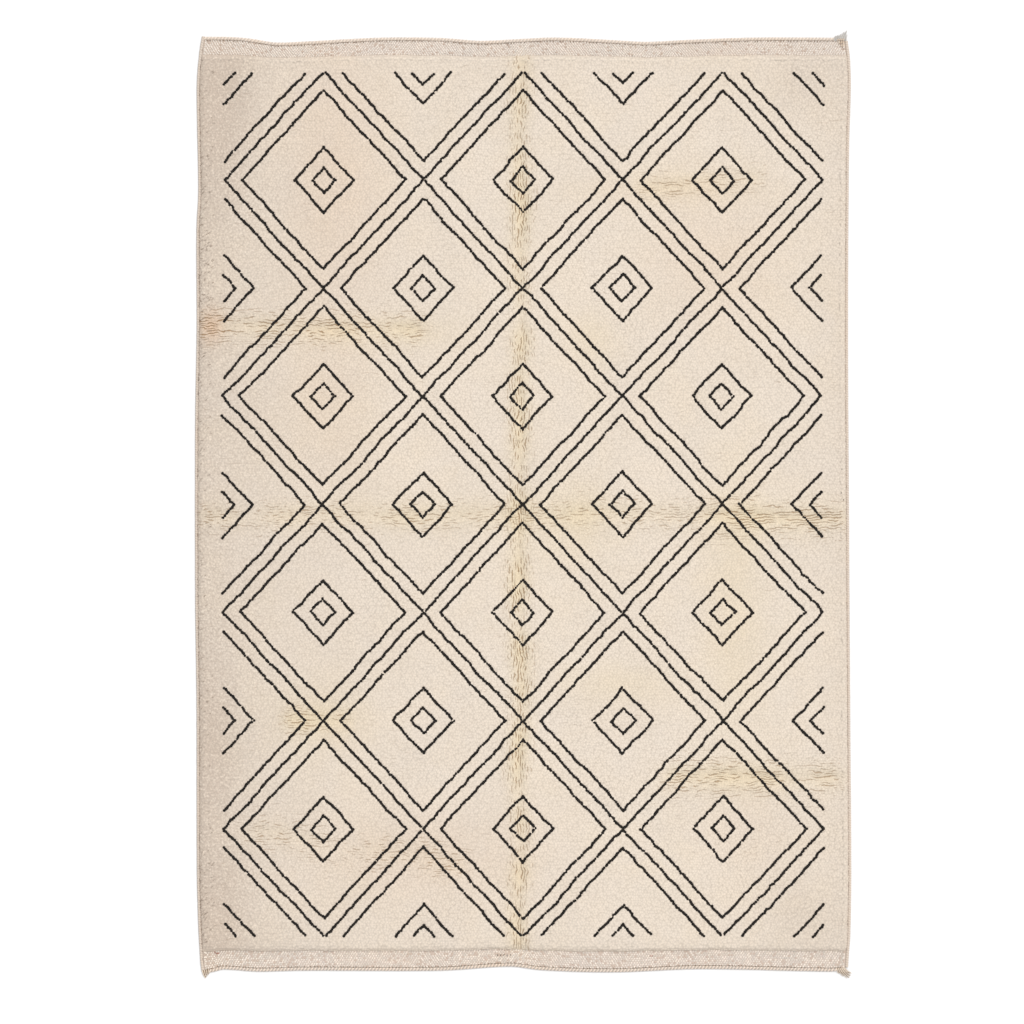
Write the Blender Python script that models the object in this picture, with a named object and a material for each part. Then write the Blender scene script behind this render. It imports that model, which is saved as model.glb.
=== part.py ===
"""A hand-knotted wool rug lying flat: one pile slab with flat-woven ends, wrapped edge cords and corner tufts.

Metres, +Z up. The rug lies on z = 0 with its middle at the origin, its length along Y and its head end at +Y.
"""

import bisect
import math
from typing import NamedTuple

import bmesh
import bpy
import numpy as np
from mathutils import Vector, noise


class Bow(NamedTuple):
    """How far out an edge bows at one place along it."""

    along: float
    out: float


class Crease(NamedTuple):
    """A fold mark from one point of the field to another."""

    start_x: float
    start_y: float
    end_x: float
    end_y: float
    wander: float
    reach: float
    depth: float


class ShoulderPoint(NamedTuple):
    """The share of the pile's height that it reaches at a depth inside its rim."""

    depth: float
    share: float


class Strand(NamedTuple):
    """One loose yarn of a tuft: its length and its heading, turned anticlockwise from the tuft's own."""

    length: float
    turn: float


# Overall size, edge to edge over the cords
WIDTH = 2.030
LENGTH = 2.900
GAP = 0.0003
# The middle of the whole outline, tufts included, on the straight rug
MIDDLE_X = 0.002645
MIDDLE_Y = 0.001685

# Cords along the edges, which end a little inside the corners
SIDE_CORD_WIDTH = 0.009
SIDE_CORD_HEIGHT = 0.007
END_CORD_WIDTH = 0.011
END_CORD_HEIGHT = 0.008
CORD_END_CLEAR = 0.002

# Heights of the cloth
BAND_HEIGHT = 0.0045
RIM_HEIGHT = 0.0078
PILE_HEIGHT = 0.0180
LUMP_HEIGHT = 0.0014
LUMP_LENGTH = 0.21
SEED_SPREAD = 7.0

# Flat-woven bands, each with its cord
HEAD_BAND = 0.053
FOOT_BAND = 0.061
BAND_WANDER = 0.0025
BAND_WANDER_WAVE = 0.07
BAND_WANDER_REACH = 0.02

# The edges of the woven body beside its cords, and of the pile beside the flat-woven bands
BODY_SIDE = WIDTH / 2 - SIDE_CORD_WIDTH - GAP
BODY_END = LENGTH / 2 - END_CORD_WIDTH - GAP
PILE_HEAD = LENGTH / 2 - HEAD_BAND
PILE_FOOT = -LENGTH / 2 + FOOT_BAND

# How the pile rises from its rim
SHOULDER = (
    ShoulderPoint(0.000, 0.00),
    ShoulderPoint(0.005, 0.60),
    ShoulderPoint(0.013, 0.93),
    ShoulderPoint(0.032, 1.00),
)

# Spacing of the surface points
FIELD_STEP = 0.063
CREASE_STEP = 0.021
CREASE_SPREAD = 0.042

# Locks of pile that lean out from the rim
LOCK_REACH_SIDE = 0.0038
LOCK_REACH_END = 0.0088
LOCK_DROP = 0.0006
LOCK_TAPER = 0.55
LOCK_CUTS = 2
LOCK_FREE_CORNER = 0.045
LOCK_UNEVENNESS = 0.5
LOCK_NOISE = 31.0
SLOPE_NORMAL = 0.1
TINY = 1e-5

# How each edge of the outline leaves the straight
LEFT_BOW = (
    Bow(-1.475, -0.0240),
    Bow(-1.431, -0.0130),
    Bow(-1.372, -0.0084),
    Bow(-1.294, -0.0044),
    Bow(-1.139, -0.0006),
    Bow(-0.609, 0.0006),
    Bow(-0.297, 0.0044),
    Bow(0.263, 0.0044),
    Bow(0.544, 0.0000),
    Bow(0.855, 0.0006),
    Bow(0.952, -0.0044),
    Bow(1.011, -0.0050),
    Bow(1.229, -0.0006),
    Bow(1.319, -0.0006),
    Bow(1.402, -0.0078),
    Bow(1.455, -0.0170),
)
RIGHT_BOW = (
    Bow(-1.475, -0.0030),
    Bow(-1.431, -0.0016),
    Bow(-1.388, 0.0012),
    Bow(-1.344, 0.0047),
    Bow(-1.139, 0.0078),
    Bow(-0.671, 0.0047),
    Bow(0.014, 0.0006),
    Bow(0.544, -0.0022),
    Bow(1.104, 0.0009),
    Bow(1.291, 0.0062),
    Bow(1.385, 0.0037),
    Bow(1.455, -0.0060),
)
HEAD_BOW = (
    Bow(-1.005, 0.0070),
    Bow(-0.909, 0.0056),
    Bow(-0.853, 0.0000),
    Bow(-0.778, -0.0110),
    Bow(-0.706, -0.0090),
    Bow(-0.569, -0.0016),
    Bow(-0.432, 0.0044),
    Bow(-0.258, 0.0031),
    Bow(-0.133, -0.0056),
    Bow(-0.009, 0.0000),
    Bow(0.107, 0.0044),
    Bow(0.303, -0.0047),
    Bow(0.384, -0.0090),
    Bow(0.509, -0.0031),
    Bow(0.723, 0.0044),
    Bow(0.970, 0.0040),
)
FOOT_BOW = (
    Bow(-1.005, 0.0100),
    Bow(-0.973, 0.0047),
    Bow(-0.958, -0.0016),
    Bow(-0.906, 0.0000),
    Bow(-0.837, 0.0047),
    Bow(-0.694, 0.0016),
    Bow(-0.258, 0.0016),
    Bow(-0.040, -0.0109),
    Bow(0.054, 0.0000),
    Bow(0.278, 0.0069),
    Bow(0.552, -0.0031),
    Bow(0.957, 0.0047),
    Bow(1.007, 0.0016),
)
SIDE_BOW_FADE = 0.50
END_BOW_FADE = 0.06
STIFF_EDGE = 0.013

# Fold marks, each a soft trough between two low ridges
CREASES = (
    Crease(-0.012, -1.395, -0.006, 1.395, 0.011, 0.026, 0.0050),
    Crease(-1.010, 0.555, -0.300, 0.540, 0.010, 0.030, 0.0034),
    Crease(-1.010, -0.035, 0.560, -0.032, 0.012, 0.032, 0.0030),
    Crease(0.540, -0.038, 1.010, -0.042, 0.008, 0.032, 0.0050),
    Crease(0.430, -0.846, 0.985, -0.852, 0.010, 0.032, 0.0046),
    Crease(0.365, 0.985, 0.740, 1.010, 0.012, 0.028, 0.0020),
    Crease(-0.740, -0.668, -0.540, -0.676, 0.008, 0.028, 0.0020),
    Crease(-0.860, -1.020, -0.180, -1.120, 0.022, 0.034, 0.0018),
)
CREASE_SHARPNESS = 1.4
RIDGE_SHARE = 0.30
CREASE_WAVE = 0.24
CREASE_UNEVENNESS = 0.4
CREASE_LINES_Y = (-1.06, -0.85, -0.67, -0.037, 0.548, 0.998)

# Tufts of loose yarn at the corners: the corner taken up, and the yarns across it
TUFT_DEPTH = 0.0105
TUFT_HEIGHT = 0.0065
HEAD_TUFT_WIDTH = 0.042
HEAD_STRANDS = (
    Strand(0.005, -0.40),
    Strand(0.007, -0.34),
    Strand(0.010, -0.30),
    Strand(0.019, -0.34),
    Strand(0.026, -0.24),
    Strand(0.016, -0.16),
    Strand(0.007, -0.45),
)
FOOT_TUFT_WIDTH = 0.036
FOOT_STRANDS = (
    Strand(0.009, 0.50),
    Strand(0.022, 0.58),
    Strand(0.030, 0.66),
    Strand(0.031, 0.74),
    Strand(0.025, 0.84),
    Strand(0.017, 1.00),
)
POINT_TUFT_WIDTH = 0.024
POINT_STRANDS = (
    Strand(0.016, 0.12),
    Strand(0.013, 0.02),
    Strand(0.008, -0.10),
    Strand(0.004, -0.25),
)
STRAND_MIDDLE_WIDTH = 0.80
STRAND_TIP_WIDTH = 0.42
STRAND_TIP_HEIGHT = 0.62

# Finishes
PILE_ROUGHNESS = 0.95
FLAT_ROUGHNESS = 0.90
HARD_EDGE = math.radians(50)
WOOL = (0.775, 0.672, 0.552)
FLAT_WOOL = (0.720, 0.615, 0.525)
CORD_WOOL = (0.735, 0.640, 0.545)
YARN = (0.690, 0.575, 0.455)


def bow(rows, place):
    """How far an edge bows out at a place, on a smooth curve through its rows."""
    places = [row.along for row in rows]
    place = min(max(place, places[0]), places[-1])
    i = min(bisect.bisect_right(places, place), len(rows) - 1) - 1
    low, high = rows[i], rows[i + 1]
    before = rows[max(i - 1, 0)]
    after = rows[min(i + 2, len(rows) - 1)]
    run = high.along - low.along
    low_slope = run * (high.out - before.out) / (high.along - before.along)
    high_slope = run * (after.out - low.out) / (after.along - low.along)
    t = (place - low.along) / run
    start = (1 - t) ** 2 * ((1 + 2 * t) * low.out + t * low_slope)
    end = t**2 * ((3 - 2 * t) * high.out + (t - 1) * high_slope)
    return start + end


def fade(depth, reach):
    """The share of an edge's bow that is left at a depth inside the edge."""
    return math.exp(-max(depth - STIFF_EDGE, 0.0) / reach)


def laid(x, y):
    """Where a point of the straight rug lies once its edges bow."""
    right = bow(RIGHT_BOW, y) * fade(WIDTH / 2 - x, SIDE_BOW_FADE)
    left = bow(LEFT_BOW, y) * fade(WIDTH / 2 + x, SIDE_BOW_FADE)
    head = bow(HEAD_BOW, x) * fade(LENGTH / 2 - y, END_BOW_FADE)
    foot = bow(FOOT_BOW, x) * fade(LENGTH / 2 + y, END_BOW_FADE)
    return x + right - left - MIDDLE_X, y + head - foot - MIDDLE_Y


def lay_out(bm):
    """Moves every point of a straight piece to where it lies."""
    for vert in bm.verts:
        vert.co.x, vert.co.y = laid(vert.co.x, vert.co.y)


def stations(low, high, centres):
    """Evenly spaced places from low to high, closer together near each centre."""
    line = np.linspace(low, high, 4001)
    density = np.full(line.size, 1 / FIELD_STEP)
    for centre in centres:
        near = np.exp(-(((line - centre) / CREASE_SPREAD) ** 2))
        density += near * (1 / CREASE_STEP - 1 / FIELD_STEP)
    steps = (density[1:] + density[:-1]) / 2 * np.diff(line)
    count = np.concatenate([[0.0], np.cumsum(steps)])
    return list(np.interp(np.linspace(0, count[-1], round(count[-1]) + 1), count, line))


def field_lines(low, high, centres):
    """The places of the shoulder's points at both rims, and of the field's between them."""
    depths = [point.depth for point in SHOULDER]
    inner = stations(low + depths[-1], high - depths[-1], centres)
    return [low + d for d in depths[:-1]] + inner + [high - d for d in reversed(depths[:-1])]


def crease_height(crease, x, y):
    """What one fold mark adds to the pile's height at a point."""
    start = Vector((crease.start_x, crease.start_y))
    end = Vector((crease.end_x, crease.end_y))
    run = (end - start).normalized()
    offset = Vector((x, y)) - start
    along = offset.dot(run)
    across = offset.cross(run)
    across += crease.wander * noise.noise((along / CREASE_WAVE, *start * SEED_SPREAD))
    inside = min(along, (end - start).length - along) / (2 * crease.reach)
    strength = min(max(inside + 0.5, 0.0), 1.0)
    uneven = noise.noise((2 * along / CREASE_WAVE, *end * SEED_SPREAD))
    strength *= 1 - CREASE_UNEVENNESS / 2 + CREASE_UNEVENNESS * uneven
    s = (across / crease.reach) ** 2
    profile = ((1 + 2 * RIDGE_SHARE) * s - 1) * math.exp(-CREASE_SHARPNESS * s)
    return crease.depth * strength * profile


def shoulder(depth):
    """The share of the pile's height at a depth inside its rim."""
    depths, shares = zip(*SHOULDER)
    return float(np.interp(depth, depths, shares))


def cloth_height(x, y):
    """The height of the cloth at a point of the straight rug."""
    end = min(PILE_HEAD - y, y - PILE_FOOT)
    if end <= 0:
        return BAND_HEIGHT
    place = Vector((x, y, SEED_SPREAD)) / LUMP_LENGTH
    lump = noise.noise(place) + noise.noise(3 * place) / 2
    pile = PILE_HEIGHT + LUMP_HEIGHT * lump + sum(crease_height(c, x, y) for c in CREASES)
    top = RIM_HEIGHT + (pile - RIM_HEIGHT) * shoulder(BODY_SIDE - abs(x))
    return BAND_HEIGHT + (top - BAND_HEIGHT) * shoulder(end)


def band_edge_shift(x, y):
    """How far the edge between pile and flat weave wanders, at its own place only."""
    near = math.exp(-min(abs(y - PILE_HEAD), abs(y - PILE_FOOT)) / BAND_WANDER_REACH)
    seed = math.copysign(SEED_SPREAD, y)
    return BAND_WANDER * near * noise.noise((x / BAND_WANDER_WAVE, seed, 0.0))


def slab_sheet(bm, columns, rows):
    """A flat sheet of quads with a line at each column and row."""
    bmesh.ops.create_grid(bm, x_segments=len(columns) - 1, y_segments=len(rows) - 1, size=0.5)
    for vert in bm.verts:
        column = round((vert.co.x + 0.5) * (len(columns) - 1))
        row = round((vert.co.y + 0.5) * (len(rows) - 1))
        vert.co = (columns[column], rows[row], 0.0)


def raise_slab(bm):
    """Draws the sheet up into the slab, and leaves its underside as one flat face."""
    under = bm.faces[:]
    made = bmesh.ops.extrude_face_region(bm, geom=under)["geom"]
    for vert in (item for item in made if isinstance(item, bmesh.types.BMVert)):
        x, y = vert.co.x, vert.co.y
        vert.co.z = cloth_height(x, y)
        vert.co.y = y + band_edge_shift(x, y)
    low = [face for face in bm.faces if max(v.co.z for v in face.verts) < TINY]
    bmesh.ops.dissolve_faces(bm, faces=low)
    bmesh.ops.recalc_face_normals(bm, faces=bm.faces[:])


def rim_way(face):
    """The way out over the rim from a face on the pile's slope, or None for a face elsewhere."""
    middle = face.calc_center_median()
    slope = SHOULDER[1].depth
    if face.normal.z < SLOPE_NORMAL or middle.z < BAND_HEIGHT + TINY:
        return None
    if PILE_FOOT + LOCK_FREE_CORNER < middle.y < PILE_HEAD - LOCK_FREE_CORNER:
        beside = abs(middle.x) > BODY_SIDE - slope
        return Vector((math.copysign(1, middle.x), 0, 0)) if beside else None
    if abs(middle.x) > BODY_SIDE - LOCK_FREE_CORNER:
        return None
    beside = not PILE_FOOT + slope < middle.y < PILE_HEAD - slope
    return Vector((0, math.copysign(1, middle.y), 0)) if beside else None


def split_rim(bm):
    """Cuts each face of the pile's slope into a row of narrow ones along the rim."""
    edges = set()
    for face in bm.faces:
        way = rim_way(face)
        if way is None:
            continue
        runs = [(edge, edge.verts[0].co - edge.verts[1].co) for edge in face.edges]
        edges.update(edge for edge, run in runs if abs(run.dot(way)) < run.length / 2)
    bmesh.ops.subdivide_edges(bm, edges=list(edges), cuts=LOCK_CUTS, use_grid_fill=True)


def add_locks(bm):
    """Draws the middle one of each row of narrow faces out into a tapered lock."""
    slope = [(face, rim_way(face)) for face in bm.faces]
    slope = [(face, way) for face, way in slope if way is not None]
    slope.sort(key=lambda item: (*item[1], item[0].calc_center_median().dot(item[1].yxz)))
    chosen = [face for face, _ in slope[LOCK_CUTS // 2 :: LOCK_CUTS + 1]]
    for face in bmesh.ops.extrude_discrete_faces(bm, faces=chosen)["faces"]:
        way = rim_way(face)
        middle = face.calc_center_median()
        reach = LOCK_REACH_SIDE if way.x else LOCK_REACH_END
        reach *= 1 + LOCK_UNEVENNESS * noise.noise(middle * LOCK_NOISE)
        drop = 0.0 if way.x else LOCK_DROP
        for vert in face.verts:
            vert.co = middle + (vert.co - middle) * LOCK_TAPER + way * reach
            vert.co.z -= drop


def material(name, colour, roughness):
    """A plain wool material."""
    made = bpy.data.materials.new(name)
    made.use_nodes = True
    shader = made.node_tree.nodes["Principled BSDF"]
    shader.inputs["Base Color"].default_value = (*colour, 1.0)
    shader.inputs["Roughness"].default_value = roughness
    shader.inputs["Metallic"].default_value = 0.0
    made.diffuse_color = (*colour, 1.0)
    return made


def add_piece(collection, name, bm, finishes):
    """Makes an object of the mesh, shaded smooth but for its hard edges."""
    mesh = bpy.data.meshes.new(name)
    bm.to_mesh(mesh)
    bm.free()
    for finish in finishes:
        mesh.materials.append(finish)
    mesh.shade_smooth()
    mesh.set_sharp_from_angle(angle=HARD_EDGE)
    collection.objects.link(bpy.data.objects.new(name, mesh))


def make_rug(collection, columns, rows):
    """The woven body: a slab of pile between two flat-woven bands."""
    bm = bmesh.new()
    slab_sheet(bm, columns, rows)
    raise_slab(bm)
    split_rim(bm)
    add_locks(bm)
    for face in bm.faces:
        face.material_index = int(max(vert.co.z for vert in face.verts) < BAND_HEIGHT + TINY)
    lay_out(bm)
    pile = material("pile_wool", WOOL, PILE_ROUGHNESS)
    flat_weave = material("flat_wool", FLAT_WOOL, FLAT_ROUGHNESS)
    add_piece(collection, "rug", bm, [pile, flat_weave])


def tube_mesh(points, width, height):
    """A tube on a poly spline, flattened to lie on the floor, as a closed mesh."""
    curve = bpy.data.curves.new("cord_line", "CURVE")
    curve.dimensions = "3D"
    curve.bevel_depth = width / 2
    curve.bevel_resolution = 2
    curve.use_fill_caps = True
    spline = curve.splines.new("POLY")
    spline.points.add(len(points) - 1)
    for point, (x, y) in zip(spline.points, points):
        point.co = (x, y, 0.0, 1.0)
    guide = bpy.data.objects.new("cord_line", curve)
    bpy.context.scene.collection.objects.link(guide)
    graph = bpy.context.evaluated_depsgraph_get()
    mesh = bpy.data.meshes.new_from_object(guide.evaluated_get(graph))
    bm = bmesh.new()
    bm.from_mesh(mesh)
    bpy.data.objects.remove(guide)
    bpy.data.curves.remove(curve)
    bpy.data.meshes.remove(mesh)
    bmesh.ops.remove_doubles(bm, verts=bm.verts[:], dist=TINY)
    low = min(vert.co.z for vert in bm.verts)
    high = max(vert.co.z for vert in bm.verts)
    for vert in bm.verts:
        vert.co.z = (vert.co.z - low) * height / (high - low)
    bmesh.ops.recalc_face_normals(bm, faces=bm.faces[:])
    return bm


def make_side_cord(collection, name, side, rows, foot_gap, head_gap):
    """The wrapped cord along a long edge, from one corner to the other."""
    x = side * (WIDTH - SIDE_CORD_WIDTH) / 2
    low = -LENGTH / 2 + foot_gap
    high = LENGTH / 2 - head_gap
    inner = [y for y in rows if low + CORD_END_CLEAR < y < high - CORD_END_CLEAR]
    bm = tube_mesh([(x, y) for y in [low, *inner, high]], SIDE_CORD_WIDTH, SIDE_CORD_HEIGHT)
    lay_out(bm)
    add_piece(collection, name, bm, [material(name + "_wool", CORD_WOOL, FLAT_ROUGHNESS)])


def make_end_cord(collection, name, end, columns, left_gap, right_gap):
    """The twisted cord that closes a flat-woven end."""
    y = end * (LENGTH - END_CORD_WIDTH) / 2
    low = -WIDTH / 2 + left_gap
    high = WIDTH / 2 - right_gap
    inner = [x for x in columns if low + CORD_END_CLEAR < x < high - CORD_END_CLEAR]
    bm = tube_mesh([(x, y) for x in [low, *inner, high]], END_CORD_WIDTH, END_CORD_HEIGHT)
    lay_out(bm)
    add_piece(collection, name, bm, [material(name + "_wool", CORD_WOOL, FLAT_ROUGHNESS)])


def draw_strand(face, strand, heading, out):
    """Draws one face of a tuft's head out by half a yarn's length or the whole."""
    way = Vector((math.cos(heading + strand.turn), math.sin(heading + strand.turn), 0))
    middle = face.calc_center_median()
    width = STRAND_TIP_WIDTH / STRAND_MIDDLE_WIDTH if out else STRAND_MIDDLE_WIDTH
    height = STRAND_TIP_HEIGHT if out else 1.0
    for vert in face.verts:
        spread = vert.co - middle
        vert.co += way * strand.length / 2 - spread * (1 - width)
        vert.co.z = (spread.z + middle.z) * height


def make_tuft(collection, name, corner, width, strands):
    """A tuft that takes up a corner: a flat head and loose yarns that fan out from it over the floor."""
    side, end = corner
    heading = end * math.pi / 2
    bm = bmesh.new()
    bmesh.ops.create_cube(bm, size=1.0)
    for vert in bm.verts:
        inner = side * (WIDTH / 2 - width)
        outer = side * WIDTH / 2
        x = outer if vert.co.x * side > 0 else inner
        y = end * (LENGTH / 2 - (0.0 if vert.co.y * end > 0 else TUFT_DEPTH))
        vert.co = (x, y, TUFT_HEIGHT if vert.co.z > 0 else 0.0)
    across = [e for e in bm.edges if abs(e.verts[0].co.x - e.verts[1].co.x) > width / 2]
    bmesh.ops.subdivide_edges(bm, edges=across, cuts=len(strands) - 1, use_grid_fill=True)
    bm.normal_update()
    fronts = [face for face in bm.faces if face.normal.y * end > 0.5]
    for out in (False, True):
        fronts = bmesh.ops.extrude_discrete_faces(bm, faces=fronts)["faces"]
        fronts.sort(key=lambda face: face.calc_center_median().x)
        for face, strand in zip(fronts, strands):
            draw_strand(face, strand, heading, out)
    bmesh.ops.recalc_face_normals(bm, faces=bm.faces[:])
    lay_out(bm)
    add_piece(collection, name, bm, [material(name + "_yarn", YARN, FLAT_ROUGHNESS)])


def main():
    """Builds the rug, its cords and its tufts."""
    for item in list(bpy.data.objects):
        bpy.data.objects.remove(item)
    collection = bpy.data.collections.new("beni_ourain_rug")
    bpy.context.scene.collection.children.link(collection)

    columns = field_lines(-BODY_SIDE, BODY_SIDE, [CREASES[0].start_x])
    rows = [-BODY_END, *field_lines(PILE_FOOT, PILE_HEAD, CREASE_LINES_Y), BODY_END]
    beside_cord = SIDE_CORD_WIDTH + GAP
    beside_head = TUFT_DEPTH + GAP
    head_tuft = HEAD_TUFT_WIDTH + GAP
    foot_tuft = FOOT_TUFT_WIDTH + GAP
    point_tuft = POINT_TUFT_WIDTH + GAP

    make_rug(collection, columns, rows)
    make_side_cord(collection, "side_cord_left", -1, rows, beside_head, 0.0)
    make_side_cord(collection, "side_cord_right", 1, rows, beside_head, beside_head)
    make_end_cord(collection, "end_cord_head", 1, columns, beside_cord, head_tuft)
    make_end_cord(collection, "end_cord_foot", -1, columns, point_tuft, foot_tuft)
    make_tuft(collection, "tuft_head_right", (1, 1), HEAD_TUFT_WIDTH, HEAD_STRANDS)
    make_tuft(collection, "tuft_foot_right", (1, -1), FOOT_TUFT_WIDTH, FOOT_STRANDS)
    make_tuft(collection, "tuft_foot_left", (-1, -1), POINT_TUFT_WIDTH, POINT_STRANDS)


main()
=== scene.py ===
"""The looks of a hand-knotted wool rug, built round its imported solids: pile, woven ends, cords and tufts.

Metres, +Z up. The straight rug has its middle at the origin and its length along Y. Every piece is made on
the straight rug and then laid out, so that its edges bow as the edges of the solids do.
"""

import logging
import math
from dataclasses import dataclass, field, replace
from enum import Flag, IntEnum, auto
from functools import cached_property
from typing import Any, ClassVar, NamedTuple

import bmesh
import bpy
import numpy as np
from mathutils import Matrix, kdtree, noise


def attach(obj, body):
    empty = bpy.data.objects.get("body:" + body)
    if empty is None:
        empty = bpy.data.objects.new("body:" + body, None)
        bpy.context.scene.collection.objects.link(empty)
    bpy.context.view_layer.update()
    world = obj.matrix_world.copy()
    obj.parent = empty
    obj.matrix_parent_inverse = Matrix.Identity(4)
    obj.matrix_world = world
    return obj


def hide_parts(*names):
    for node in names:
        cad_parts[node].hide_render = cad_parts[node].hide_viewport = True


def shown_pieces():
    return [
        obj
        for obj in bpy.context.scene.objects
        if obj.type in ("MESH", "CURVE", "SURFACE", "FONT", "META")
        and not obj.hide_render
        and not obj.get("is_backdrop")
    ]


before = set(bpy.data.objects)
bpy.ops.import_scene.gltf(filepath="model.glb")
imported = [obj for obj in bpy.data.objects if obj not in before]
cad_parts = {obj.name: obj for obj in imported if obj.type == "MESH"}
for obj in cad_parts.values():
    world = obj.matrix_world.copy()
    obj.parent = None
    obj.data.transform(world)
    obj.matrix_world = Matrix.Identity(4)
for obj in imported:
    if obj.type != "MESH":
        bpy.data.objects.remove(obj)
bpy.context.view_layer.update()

LOG = logging.getLogger("rug")
Colour = tuple[float, float, float]
Numbers = np.ndarray
Thing = bpy.types.Object
Socket = bpy.types.NodeSocket
Material = bpy.types.Material
NodeTree = bpy.types.NodeTree
Growth = tuple[Numbers, dict[str, Numbers]]

BODY = "root"
SEED_SPREAD = 7.0
FLAT_MAP = "OFBake"
YARN_PATCH_SCALE = 90.0
TUFT_DEPTH = 0.0105
LEAST_LENGTH = 1e-4
LEAST_SLOPE = 1e-9
NOISE_RANGE = (0.35, 0.65)


class Bow(NamedTuple):
    """How far out an edge bows at one place along it."""

    along: float
    out: float


class Edge(IntEnum):
    """Where an edge of the rug is, as the sign of its place."""

    @property
    def word(self) -> str:
        """How the names of the pieces say it."""
        return self.name.lower()


class End(Edge):
    """An end of the rug, with the sign of its place along Y."""

    FOOT = -1
    HEAD = 1


class Side(Edge):
    """A long side of the rug, with the sign of its place along X."""

    LEFT = -1
    RIGHT = 1


class Crease(NamedTuple):
    """A fold mark between two points of the field, with its tone and the strokes that part the pile there."""

    start_x: float
    start_y: float
    end_x: float
    end_y: float
    wander: float
    reach: float
    depth: float
    cream: float
    streaked: float
    spread: float
    stroke: float


class Stain(NamedTuple):
    """A soft patch of another tone in the ivory wool."""

    x: float
    y: float
    reach_x: float
    reach_y: float
    cream: float
    grey: float
    pink: float


class Strand(NamedTuple):
    """One loose yarn of a corner tuft: its length and how far its heading turns from straight out."""

    length: float
    turn: float


LEFT_BOW = (
    Bow(-1.475, -0.0240),
    Bow(-1.431, -0.0130),
    Bow(-1.372, -0.0084),
    Bow(-1.294, -0.0044),
    Bow(-1.139, -0.0006),
    Bow(-0.609, 0.0006),
    Bow(-0.297, 0.0044),
    Bow(0.263, 0.0044),
    Bow(0.544, 0.0000),
    Bow(0.855, 0.0006),
    Bow(0.952, -0.0044),
    Bow(1.011, -0.0050),
    Bow(1.229, -0.0006),
    Bow(1.319, -0.0006),
    Bow(1.402, -0.0078),
    Bow(1.455, -0.0170),
)
RIGHT_BOW = (
    Bow(-1.475, -0.0030),
    Bow(-1.431, -0.0016),
    Bow(-1.388, 0.0012),
    Bow(-1.344, 0.0047),
    Bow(-1.139, 0.0078),
    Bow(-0.671, 0.0047),
    Bow(0.014, 0.0006),
    Bow(0.544, -0.0022),
    Bow(1.104, 0.0009),
    Bow(1.291, 0.0062),
    Bow(1.385, 0.0037),
    Bow(1.455, -0.0060),
)
HEAD_BOW = (
    Bow(-1.005, 0.0070),
    Bow(-0.909, 0.0056),
    Bow(-0.853, 0.0000),
    Bow(-0.778, -0.0110),
    Bow(-0.706, -0.0090),
    Bow(-0.569, -0.0016),
    Bow(-0.432, 0.0044),
    Bow(-0.258, 0.0031),
    Bow(-0.133, -0.0056),
    Bow(-0.009, 0.0000),
    Bow(0.107, 0.0044),
    Bow(0.303, -0.0047),
    Bow(0.384, -0.0090),
    Bow(0.509, -0.0031),
    Bow(0.723, 0.0044),
    Bow(0.970, 0.0040),
)
FOOT_BOW = (
    Bow(-1.005, 0.0100),
    Bow(-0.973, 0.0047),
    Bow(-0.958, -0.0016),
    Bow(-0.906, 0.0000),
    Bow(-0.837, 0.0047),
    Bow(-0.694, 0.0016),
    Bow(-0.258, 0.0016),
    Bow(-0.040, -0.0109),
    Bow(0.054, 0.0000),
    Bow(0.278, 0.0069),
    Bow(0.552, -0.0031),
    Bow(0.957, 0.0047),
    Bow(1.007, 0.0016),
)
CREASES = (
    Crease(-0.012, -1.395, -0.006, 1.395, 0.014, 0.028, 0.0050, 1.0, 1.00, 0.038, 0.020),
    Crease(-1.010, 0.555, -0.300, 0.540, 0.010, 0.030, 0.0034, 0.5, 0.70, 0.048, 0.026),
    Crease(-1.005, 0.550, -0.915, 0.550, 0.004, 0.020, 0.0000, 0.0, 1.20, 0.045, 0.028),
    Crease(-1.010, -0.035, 0.560, -0.032, 0.012, 0.032, 0.0030, 0.4, 0.52, 0.046, 0.026),
    Crease(0.540, -0.038, 1.010, -0.042, 0.008, 0.032, 0.0050, 0.5, 0.72, 0.056, 0.055),
    Crease(0.430, -0.846, 0.985, -0.852, 0.010, 0.032, 0.0046, 0.5, 0.62, 0.056, 0.036),
    Crease(0.365, 0.985, 0.740, 1.010, 0.012, 0.028, 0.0020, 0.5, 0.60, 0.040, 0.036),
    Crease(-0.740, -0.668, -0.540, -0.676, 0.008, 0.028, 0.0020, 0.5, 0.55, 0.038, 0.032),
    Crease(-0.860, -1.020, -0.180, -1.120, 0.022, 0.034, 0.0018, 0.3, 0.50, 0.050, 0.026),
)
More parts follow.
